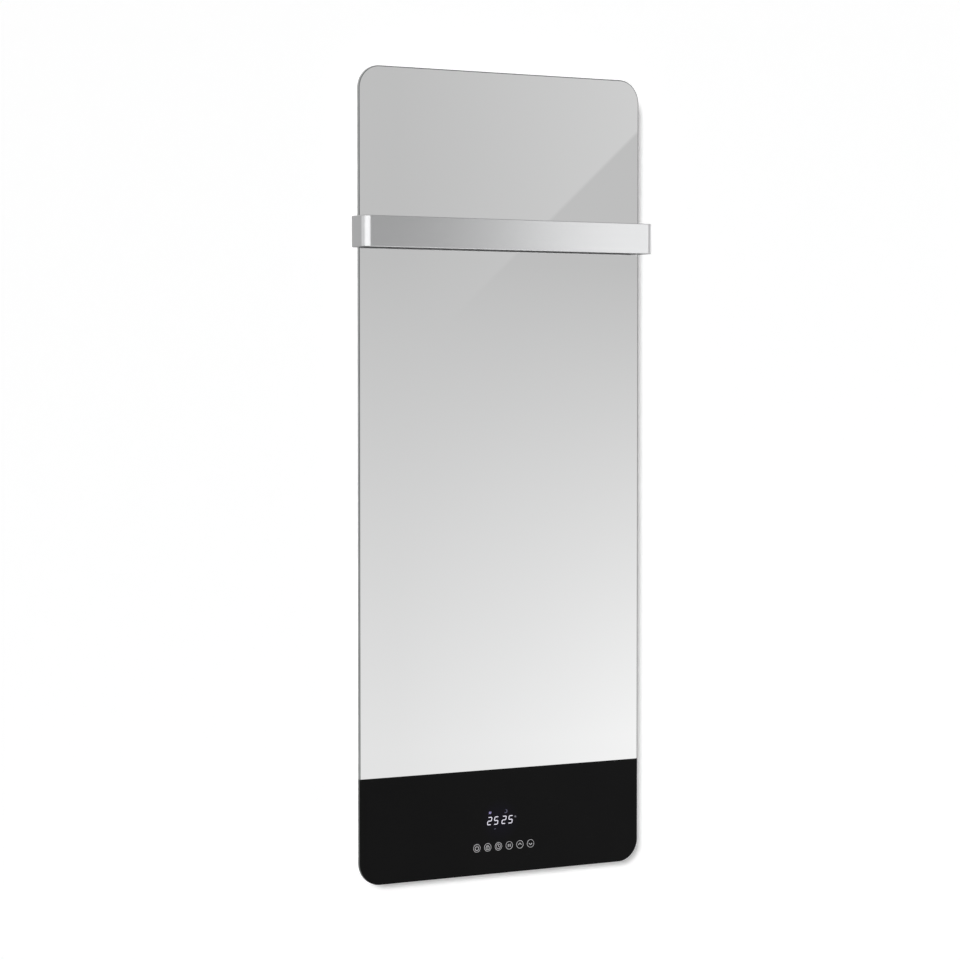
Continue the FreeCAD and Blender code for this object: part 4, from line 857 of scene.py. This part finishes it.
# %% Touch keys
KEY_PITCH = 18.8
KEY_MIDDLE = 2.6
KEY_RISE = 40.8
KEY_RADIUS = 6.15
KEY_LINE = 0.68
SIGN_LINE, CLOCK_LINE, THICK_LINE = 0.85, 0.7, 1.3
POWER_RADIUS, POWER_DROP, POWER_GAP = 3.5, 0.2, 1.5
POWER_STROKE, STROKE_RISE = 3.4, 2.3
LOCK_FOOT, LOCK_TOP, LOCK_SIDE, LOCK_DOT = -3.2, 0.9, 2.8, 1.4
SHACKLE_RADIUS, SHACKLE_RISE = 2.3, 0.3
CLOCK_RADIUS, LONG_HAND, SHORT_HAND = 4.0, 3.0, 2.4
LONG_RISE, SHORT_SIDE, SHORT_DROP = 1.1, 1.1, 0.7
PAUSE_LENGTH, PAUSE_SIDE = 4.4, 1.55
CHEVRON_LENGTH, CHEVRON_RISE, CHEVRON_DROP = 5.8, 2.3, 0.2


def sign_power(x):
    """A broken ring with a stroke in its gap."""
    ring = flat_ring(POWER_RADIUS, SIGN_LINE, on_glass(x, KEY_RISE - POWER_DROP),
                     gap=lambda point: point.z > 0 and abs(point.x) < POWER_GAP)
    return [ring, flat_bar(POWER_STROKE, SIGN_LINE, on_glass(x, KEY_RISE + STROKE_RISE), lean=90)]


def sign_lock(x):
    """A padlock: an outlined block with a dot in it and half a ring on top."""
    body_low, body_high = KEY_RISE + LOCK_FOOT, KEY_RISE + LOCK_TOP
    level_bars = [flat_bar(2 * LOCK_SIDE, SIGN_LINE, on_glass(x, rise)) for rise in (body_low, body_high)]
    middle = (body_low + body_high) / 2
    uprights = [flat_bar(body_high - body_low, SIGN_LINE, on_glass(x + side * LOCK_SIDE, middle), lean=90)
                for side in (-1, 1)]
    dot = flat_bar(LOCK_DOT, LOCK_DOT, on_glass(x, middle))
    shackle = flat_ring(SHACKLE_RADIUS, SIGN_LINE, on_glass(x, body_high + SHACKLE_RISE),
                        gap=lambda point: point.z < 0)
    return level_bars + uprights + [dot, shackle]


def sign_timer(x):
    """A clock face with two hands."""
    long_hand = flat_bar(LONG_HAND, SIGN_LINE, on_glass(x, KEY_RISE + LONG_RISE), lean=90)
    short_hand = flat_bar(SHORT_HAND, SIGN_LINE, on_glass(x + SHORT_SIDE, KEY_RISE - SHORT_DROP), lean=-30)
    return [flat_ring(CLOCK_RADIUS, CLOCK_LINE, on_glass(x, KEY_RISE)), long_hand, short_hand]


def sign_pause(x):
    """Two upright bars."""
    return [flat_bar(PAUSE_LENGTH, THICK_LINE, on_glass(x + side * PAUSE_SIDE, KEY_RISE), lean=90)
            for side in (-1, 1)]


def chevron(x, direction):
    """A bar split in the middle, with its middle moved up or down."""
    bar = flat_bar(CHEVRON_LENGTH, THICK_LINE, on_glass(x, KEY_RISE - direction * CHEVRON_DROP))
    choose_all()
    bpy.ops.mesh.bisect(plane_co=on_glass(x, KEY_RISE), plane_no=(1, 0, 0))
    choose(bar, "VERT", lambda point: abs(point.x - x * MM) < TINY)
    bpy.ops.transform.translate(value=(0, 0, direction * CHEVRON_RISE * MM))
    stop_editing()
    return [bar]


signs = {"power": sign_power, "lock": sign_lock, "timer": sign_timer, "pause": sign_pause,
         "warmer": lambda x: chevron(x, 1), "cooler": lambda x: chevron(x, -1)}
key_ring = flat_ring(KEY_RADIUS, KEY_LINE, (0, 0, 0))
for index, (sign, draw) in enumerate(signs.items()):
    x = KEY_MIDDLE + (index - (len(signs) - 1) / 2) * KEY_PITCH
    shapes = [copy_to(key_ring, on_glass(x, KEY_RISE))] + draw(x)
    lay_print(join_shapes("key_" + sign, shapes), key_ink)
bpy.data.objects.remove(key_ring)
print("keys:", list(signs))

# %% [markdown]
# ## Finishes of the carried-over parts
# Parts that keep their CAD shape still get a real finish: powder coat on the tray, zinc plate on brackets
# and fasteners, rubber, nylon, copper and the rest. Each record slot has one finish, and every node takes
# its slot's. A recipe gives the dark and the light colour, how many patches go to a metre, the least and
# the most roughness, how many grains go to a metre, how strongly they are pressed in, and 1.0 for a
# metal.


# %% Finishes of the carried-over parts
def grey(level):
    """A colour with no tint."""
    return level, level, level


recipes = {
    "tray_steel": ("white_powder_coat", (0.80, 0.80, 0.798), (0.85, 0.85, 0.848), 8, (0.38, 0.5), 1400, 0.25),
    "bracket_steel": ("zinc_plate", (0.50, 0.51, 0.53), (0.66, 0.67, 0.69), 120, (0.28, 0.42), 700, 0.1, 1.0),
    "fastener_steel":
        ("bright_zinc", (0.60, 0.61, 0.62), (0.72, 0.73, 0.75), 200, (0.2, 0.34), 900, 0.1, 1.0),
    "earth_brass": ("turned_brass", (0.62, 0.44, 0.17), (0.74, 0.56, 0.26), 150, (0.22, 0.36), 900, 0.1, 1.0),
    "seal_silicone": ("silicone_seal", (0.62, 0.62, 0.60), (0.72, 0.72, 0.70), 60, (0.5, 0.65), 500, 0.2),
    "bumper_rubber": ("black_rubber", grey(0.018), grey(0.032), 90, (0.6, 0.8), 1200, 0.3),
    "film_carbon": ("carbon_film", (0.012, 0.012, 0.014), (0.03, 0.03, 0.032), 60, (0.35, 0.5), 400, 0.1),
    "bus_copper": ("copper_strip", (0.60, 0.28, 0.14), (0.75, 0.40, 0.24), 90, (0.25, 0.4), 700, 0.1, 1.0),
    "mat_wool": ("mineral_wool", (0.52, 0.47, 0.33), (0.68, 0.63, 0.48), 180, (0.85, 1.0), 900, 0.8),
    "board_green": ("board_laminate", (0.008, 0.07, 0.025), (0.015, 0.10, 0.04), 120, (0.3, 0.45), 900, 0.1),
    "frame_plastic":
        ("moulded_frame", (0.02, 0.02, 0.022), (0.032, 0.032, 0.034), 70, (0.5, 0.62), 1100, 0.2),
    "display_plastic":
        ("display_filter", (0.012, 0.011, 0.016), (0.02, 0.018, 0.026), 70, (0.12, 0.2), 600, 0.05),
    "spring_steel": ("tinned_steel", (0.60, 0.57, 0.48), (0.73, 0.70, 0.62), 160, (0.2, 0.35), 900, 0.1, 1.0),
    "relay_plastic": ("blue_moulding", (0.02, 0.06, 0.22), (0.03, 0.085, 0.28), 70, (0.3, 0.42), 900, 0.1),
    "transformer_plastic": ("potted_case", grey(0.015), grey(0.03), 80, (0.5, 0.65), 900, 0.2),
    "terminal_plastic":
        ("green_moulding", (0.02, 0.15, 0.04), (0.035, 0.20, 0.06), 70, (0.4, 0.55), 900, 0.15),
    "fuse_glass": ("fuse_tube", (0.55, 0.58, 0.58), (0.66, 0.69, 0.69), 90, (0.08, 0.16), 500, 0.05),
    "lead_insulation": ("lead_sleeve", (0.30, 0.02, 0.015), (0.40, 0.035, 0.03), 90, (0.45, 0.6), 900, 0.15),
    "ribbon_plastic": ("ribbon_jacket", (0.33, 0.33, 0.34), (0.42, 0.42, 0.43), 90, (0.45, 0.6), 900, 0.15),
    "cutout_ceramic": ("glazed_ceramic", (0.66, 0.62, 0.53), (0.75, 0.71, 0.62), 70, (0.18, 0.3), 600, 0.1),
    "switch_plastic": ("switch_moulding", grey(0.012), grey(0.022), 90, (0.45, 0.58), 1300, 0.2),
    "rocker_plastic": ("rocker_moulding", grey(0.015), grey(0.024), 90, (0.22, 0.34), 900, 0.08),
    "gland_nylon": ("black_nylon", grey(0.018), grey(0.03), 90, (0.42, 0.56), 1100, 0.2),
    "sensor_steel": ("bright_tube", (0.66, 0.66, 0.67), (0.76, 0.76, 0.77), 160, (0.1, 0.2), 700, 0.06, 1.0),
}
finishes = {"mirror_glass": silver, "satin_rail": satin}
for slot, recipe in recipes.items():
    finishes[slot] = mottled(*recipe)
for part in frame["record"]["subparts"]:
    node_mesh = cad_nodes[part["node"]].data
    node_mesh.materials.clear()
    node_mesh.materials.append(finishes[part["material_slot"]])
print("finishes:", len(finishes), "for", len(cad_nodes), "nodes")

# %% [markdown]
# ## Cross-head screws
# The service cover and the rail's ends are held by small dome-headed screws. One screw is turned from a
# cylinder: its rim is bevelled to a dome and its shank pushed out of the other end. The cross is cut with
# a boolean, because that is how the punch makes it. The rest are copies, turned to where they sit.

# %% Cross-head screws
HEAD_SIDES = 40
DOME_SHARE = 0.6
BLADE_LENGTH, BLADE_WIDTH, BLADE_DEPTH = 1.15, 0.27, 1.1
COVER_HEAD_RADIUS, COVER_HEAD, COVER_SHANK = 2.9 * MM, 1.8 * MM, 1.5 * MM
RAIL_HEAD_RADIUS, RAIL_HEAD, RAIL_SHANK, RAIL_SHANK_LENGTH = 3.79 * MM, 2.4 * MM, 2.0 * MM, 8.4 * MM


def cross_screw(head_radius, head_height, shank_radius, shank_length):
    """A screw that stands on the origin with its head up."""
    screw = start_piece("cross_screw", bpy.ops.mesh.primitive_cylinder_add, vertices=HEAD_SIDES,
                        radius=head_radius, depth=head_height, location=(0, 0, head_height / 2))
    choose(screw, "EDGE", lambda a, b: min(a.z, b.z) > head_height - TINY)
    bevel(DOME_SHARE * head_height, segments=5)
    choose(screw, "FACE", looks_down)
    inset(head_radius - shank_radius)
    push((0, 0, -shank_length))
    stop_editing()
    blade_size = (BLADE_LENGTH * head_radius, BLADE_WIDTH * head_radius, BLADE_DEPTH * head_height)
    blades = [start_piece("punch_blade", bpy.ops.mesh.primitive_cube_add, blade_size, size=1,
                          location=(0, 0, head_height), rotation=(0, 0, turn)) for turn in (0, QUARTER_TURN)]
    for blade in blades:
        take(screw)
        apply_modifier(screw, "BOOLEAN", operation="DIFFERENCE", object=blade)
        bpy.data.objects.remove(blade)
    return close_piece(screw)


def set_screws(name, pattern, seats, node):
    """Copies of one screw at their seats, as one piece in place of a node."""
    piece = join_shapes(name, [copy_to(pattern, place, turn) for place, turn in seats])
    bpy.data.objects.remove(pattern)
    piece.data.materials.append(finishes["fastener_steel"])
    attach(piece, "panel")
    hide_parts(node)
    print(name + ":", len(seats), "screws")


cover_low, cover_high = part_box("cover_screws")
left_column, right_column = cover_low.x + COVER_HEAD_RADIUS, cover_high.x - COVER_HEAD_RADIUS
columns = [left_column, (left_column + right_column) / 2, right_column]
rows = [cover_low.z + COVER_HEAD_RADIUS, cover_high.z - COVER_HEAD_RADIUS]
seat_y = cover_high.y - COVER_HEAD
cover_pattern = cross_screw(COVER_HEAD_RADIUS, COVER_HEAD, COVER_SHANK, seat_y - cover_low.y)
cover_seats = [((x, seat_y, z), (-QUARTER_TURN, 0, 0)) for x in columns for z in rows]
set_screws("cover_cross_screws", cover_pattern, cover_seats, "cover_screws")

ends_low, ends_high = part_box("rail_screws")
seat_x = ends_high.x - RAIL_HEAD
screw_y = (ends_low.y + ends_high.y) / 2
rail_rows = [ends_low.z + RAIL_HEAD_RADIUS, ends_high.z - RAIL_HEAD_RADIUS]
rail_pattern = cross_screw(RAIL_HEAD_RADIUS, RAIL_HEAD, RAIL_SHANK, RAIL_SHANK_LENGTH)
rail_seats = [((side * seat_x, screw_y, z), (0, side * QUARTER_TURN, 0))
              for side in (-1, 1) for z in rail_rows]
set_screws("rail_cross_screws", rail_pattern, rail_seats, "rail_screws")

# %% [markdown]
# ## Rubber bumpers
# Two rubber feet keep the panel's lower end parallel to the wall. Each is moulded in one piece: a round
# post with a soft rim, a shallow hollow that grips the wall, and a plug that snaps into the tray. A
# cylinder is inset and pushed in for the hollow and out for the plug, and its rims are rounded with one
# bevel.

# %% Rubber bumpers
BUMPER_RADIUS = 9 * MM
BUMPER_SIDES = 48
PLUG_RADIUS = 3 * MM
HOLLOW_RIM, HOLLOW_DEPTH = 0.3 * BUMPER_RADIUS, 1.5 * MM
BUMPER_ROUND = 1.0 * MM
bumper_low, bumper_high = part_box("wall_bumpers")
post_length = bumper_high.y - tray_high.y
plug_length = tray_high.y - bumper_low.y

bumper = start_piece("bumper_pattern", bpy.ops.mesh.primitive_cylinder_add, vertices=BUMPER_SIDES,
                     radius=BUMPER_RADIUS, depth=post_length, location=(0, 0, post_length / 2))
choose(bumper, "FACE", looks_up)
inset(HOLLOW_RIM)
push((0, 0, -HOLLOW_DEPTH))
choose(bumper, "FACE", looks_down)
inset(BUMPER_RADIUS - PLUG_RADIUS)
push((0, 0, -plug_length))
stop_editing()
round_rims(bumper, BUMPER_ROUND, segments=4, sharper_than=60)
close_piece(bumper, smooth_angle=50)
bumper_x = bumper_high.x - BUMPER_RADIUS
bumper_z = (bumper_low.z + bumper_high.z) / 2
to_the_wall = (-QUARTER_TURN, 0, 0)
pair = [copy_to(bumper, (side * bumper_x, tray_high.y, bumper_z), to_the_wall) for side in (-1, 1)]
bumpers = join_shapes("rubber_bumpers", pair)
bpy.data.objects.remove(bumper)
bumpers.data.materials.append(finishes["bumper_rubber"])
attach(bumpers, "panel")
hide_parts("wall_bumpers")
print("bumpers:", len(bumpers.data.polygons), "faces")

# %% [markdown]
# ## Cable gland
# The mains cord would enter through a nylon gland below: a hexagon against the tray and a ribbed cap that
# squeezes a rubber ring. The cap is a cylinder with a rounded end; insetting every second side face with
# a little depth leaves the finger ribs. Its end is inset twice, for the rubber ring and for the bore,
# which is pushed up inside.

# %% Cable gland
HEX_FLATS, HEX_HEIGHT, HEX_ROUND = 19 * MM, 5 * MM, 0.5 * MM
CAP_RADIUS, CAP_HEIGHT, CAP_ROUND, CAP_SIDES = 8.6 * MM, 11 * MM, 3 * MM, 48
THREAD_RADIUS, THREAD_HOLLOW = 7.9 * MM, 4 * MM
BORE_RADIUS, BORE_DEPTH, SEAL_WIDTH = 3.5 * MM, 9 * MM, 1.3 * MM
RIB_BORDER, RIB_DEPTH = 0.25 * MM, 0.5 * MM
UPRIGHT = 0.01
gland_low, gland_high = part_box("cable_gland")
gland_x = (gland_low.x + gland_high.x) / 2
gland_y = (gland_low.y + gland_high.y) / 2
hex_low = gland_low.z + CAP_HEIGHT
thread_low = hex_low + HEX_HEIGHT


def gland_part(name, sides, radius, low, high):
    """An upright cylinder between two heights on the gland's axis, with a corner to the right."""
    return start_piece(name, bpy.ops.mesh.primitive_cylinder_add, vertices=sides, radius=radius,
                       depth=high - low, location=(gland_x, gland_y, (low + high) / 2),
                       rotation=(0, 0, QUARTER_TURN))


hexagon = gland_part("gland_hexagon", 6, HEX_FLATS / sqrt(3), hex_low, thread_low)
apply_modifier(hexagon, "BEVEL", width=HEX_ROUND, segments=2)
thread = gland_part("gland_thread", CAP_SIDES, THREAD_RADIUS, thread_low, gland_high.z)
choose(thread, "FACE", looks_up)
inset(THREAD_RADIUS - BORE_RADIUS)
push((0, 0, -THREAD_HOLLOW))
stop_editing()
cap = gland_part("gland_cap", CAP_SIDES, CAP_RADIUS, gland_low.z, hex_low)
choose(cap, "EDGE", lambda a, b: max(a.z, b.z) < gland_low.z + TINY)
bevel(CAP_ROUND, segments=6)
side_faces = [face.index for face in cap.data.polygons if abs(face.normal.z) < UPRIGHT]
choose(cap, "FACE", lambda face: face.index in side_faces[::2])
inset(RIB_BORDER, depth=-RIB_DEPTH, use_individual=True)
choose(cap, "FACE", looks_down)
inset(CAP_RADIUS - CAP_ROUND - BORE_RADIUS - SEAL_WIDTH)
inset(SEAL_WIDTH)
push((0, 0, BORE_DEPTH))
stop_editing()
gland = close_piece(join_shapes("cord_gland", [cap, hexagon, thread]))
gland.data.materials.append(finishes["gland_nylon"])
gland.data.materials.append(finishes["bumper_rubber"])
for face in gland.data.polygons:
    reach = hypot(face.center.x - gland_x, face.center.y - gland_y)
    if face.center.z < hex_low and reach < BORE_RADIUS + SEAL_WIDTH:
        face.material_index = 1
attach(gland, "panel")
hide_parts("cable_gland")
print("gland:", len(gland.data.polygons), "faces")

# %% [markdown]
# ## Marks on the switch
# The rocker carries the two usual signs, a stroke for on and a ring for off, printed in white on its two
# slopes. The slopes are found in the CAD mesh by their normals, and each flat sign is tilted to lie on
# its own slope.

# %% Marks on the switch
LEAST_SLOPE_AREA = 10 * MM * MM
MOSTLY_DOWN = -0.8
ON_SIDE = 0.2
switch_ink = mottled("switch_ink", (0.74, 0.74, 0.73), (0.82, 0.82, 0.81),
                     patch=300, rough=(0.4, 0.5), grain=900, strength=0.1)
rocker_mesh = cad_nodes["switch_rocker"].data
slopes = [face for face in rocker_mesh.polygons
          if face.normal.z < MOSTLY_DOWN and face.area > LEAST_SLOPE_AREA]


def slope_mark(name, mark, faces):
    """Turn a front-facing sign to face down its slope and lay it there."""
    normal = sum((face.normal for face in faces), Vector()) / len(faces)
    place = sum((face.center for face in faces), Vector()) / len(faces)
    sign = join_shapes(name, [copy_to(mark, place, TO_THE_FRONT.rotation_difference(normal).to_euler())])
    bpy.data.objects.remove(mark)
    raise_print(sign, switch_ink, normal)
    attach(sign, "rocker")


stroke = flat_bar(length=3.4, width=0.8, place=(0, 0, 0), lean=90)
slope_mark("mark_on", stroke, [face for face in slopes if face.normal.x > ON_SIDE])
ring = flat_ring(radius=1.8, width=0.7, place=(0, 0, 0))
slope_mark("mark_off", ring, [face for face in slopes if face.normal.x < ON_SIDE])
print("switch marks: mark_on mark_off")

# %% [markdown]
# ## Pressed beads
# A large flat sheet would drum, so the tray's back is stiffened with three long pressed beads.
# A pressed form is a plane with round corners, pushed out a hair and then inset with some height. The
# helper takes the size, so that the cover's raised middle can be pressed in the same way.

# %% Pressed beads
BEAD_LENGTH, BEAD_WIDTH, BEAD_HEIGHT = 600 * MM, 18 * MM, 1.6 * MM
BEAD_CORNER, BEAD_SLOPE = 0.499 * BEAD_WIDTH, 0.28 * BEAD_WIDTH
BEAD_PITCH = 105 * MM
PRESS_STEP = 0.1 * MM
PRESS_ROUND = 0.43
brackets_middle = (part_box("wall_bracket_lower")[1].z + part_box("wall_bracket_upper")[0].z) / 2


def pressed_form(place, width, length, corner, slope, height):
    """A raised form with round corners, on a sheet that faces the wall."""
    form = start_piece("pressed_form", bpy.ops.mesh.primitive_plane_add, (width, length, 1), size=1,
                       rotation=(-QUARTER_TURN, 0, 0), location=place)
    choose_all()
    bevel(corner, segments=12, affect="VERTICES")
    push((0, PRESS_STEP, 0))
    inset(slope, depth=height)
    stop_editing()
    round_rims(form, PRESS_ROUND * slope, segments=4, sharper_than=10)
    return close_piece(form, smooth_angle=50)


bead_places = [(step * BEAD_PITCH, tray_high.y, brackets_middle) for step in (-1, 0, 1)]
bead_forms = [pressed_form(place, BEAD_WIDTH, BEAD_LENGTH, BEAD_CORNER, BEAD_SLOPE, BEAD_HEIGHT)
              for place in bead_places]
beads = join_shapes("tray_beads", bead_forms)
beads.data.materials.append(finishes["tray_steel"])
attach(beads, "panel")
print("beads:", len(beads.data.polygons), "faces")

# %% [markdown]
# ## Service cover
# A small sheet-metal cover closes the opening over the boards. Its corners are rounded and its middle is
# pressed out a little, which stiffens it and leaves a border for the screws. A box of the sheet's size has
# its corner edges bevelled round and its rims softened, and a pressed form is joined to it.

# %% Service cover
COVER_CORNER, COVER_ROUND = 4.5 * MM, 0.5 * MM
COVER_BORDER = 10 * MM
FIELD_CORNER, FIELD_SLOPE, FIELD_HEIGHT = 7 * MM, 2.2 * MM, 1.1 * MM
lid_low, lid_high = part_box("electronics_cover")
lid_middle = (lid_low + lid_high) / 2
lid_size = lid_high - lid_low

sheet = start_piece("service_cover", bpy.ops.mesh.primitive_cube_add, lid_size, size=1, location=lid_middle)
choose(sheet, "EDGE", runs_deep)
bevel(COVER_CORNER, segments=8)
stop_editing()
round_rims(sheet, COVER_ROUND, segments=3, sharper_than=40)
close_piece(sheet, smooth_angle=50)
field = pressed_form((lid_middle.x, lid_high.y, lid_middle.z), lid_size.x - 2 * COVER_BORDER,
                     lid_size.z - 2 * COVER_BORDER, FIELD_CORNER, FIELD_SLOPE, FIELD_HEIGHT)
cover = join_shapes("service_cover", [sheet, field])
cover.data.materials.append(finishes["tray_steel"])
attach(cover, "panel")
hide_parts("electronics_cover")
print("cover:", len(cover.data.polygons), "faces")

# %% [markdown]
# ## Louvres
# Two columns of louvres in the cover let warm air out and keep fingers and drips away from the boards.
# One louvre is a box with its upper edges rounded over and its underside pushed in for the slot. The others
# are copies.

# %% Louvres
LOUVRE_LENGTH, LOUVRE_HEIGHT, LOUVRE_DEPTH = 44 * MM, 6 * MM, 2.6 * MM
LOUVRE_ROUND, LOUVRE_WALL, SLOT_DEPTH = 0.9 * LOUVRE_DEPTH, 0.5 * MM, 0.6 * LOUVRE_HEIGHT
LOUVRE_ROWS, LOUVRE_PITCH, LOUVRE_SIDE = 6, 15 * MM, 30 * MM
field_y = lid_high.y + FIELD_HEIGHT

louvre = start_piece("louvre_pattern", bpy.ops.mesh.primitive_cube_add,
                     (LOUVRE_LENGTH, LOUVRE_DEPTH, LOUVRE_HEIGHT), size=1, location=(0, LOUVRE_DEPTH / 2, 0))
choose(louvre, "EDGE", lambda a, b: min(a.y, b.y) > LOUVRE_DEPTH - TINY and a.z + b.z > TINY - LOUVRE_HEIGHT)
bevel(LOUVRE_ROUND, segments=6)
choose(louvre, "FACE", looks_down)
inset(LOUVRE_WALL)
push((0, 0, SLOT_DEPTH))
stop_editing()
close_piece(louvre)
louvre_rows = [lid_middle.z + (row - (LOUVRE_ROWS - 1) / 2) * LOUVRE_PITCH for row in range(LOUVRE_ROWS)]
places = [(lid_middle.x + side * LOUVRE_SIDE, field_y, z) for side in (-1, 1) for z in louvre_rows]
louvres = join_shapes("cover_louvres", [copy_to(louvre, place) for place in places])
bpy.data.objects.remove(louvre)
louvres.data.materials.append(finishes["tray_steel"])
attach(louvres, "panel")
print("louvres:", len(louvres.data.polygons), "faces")
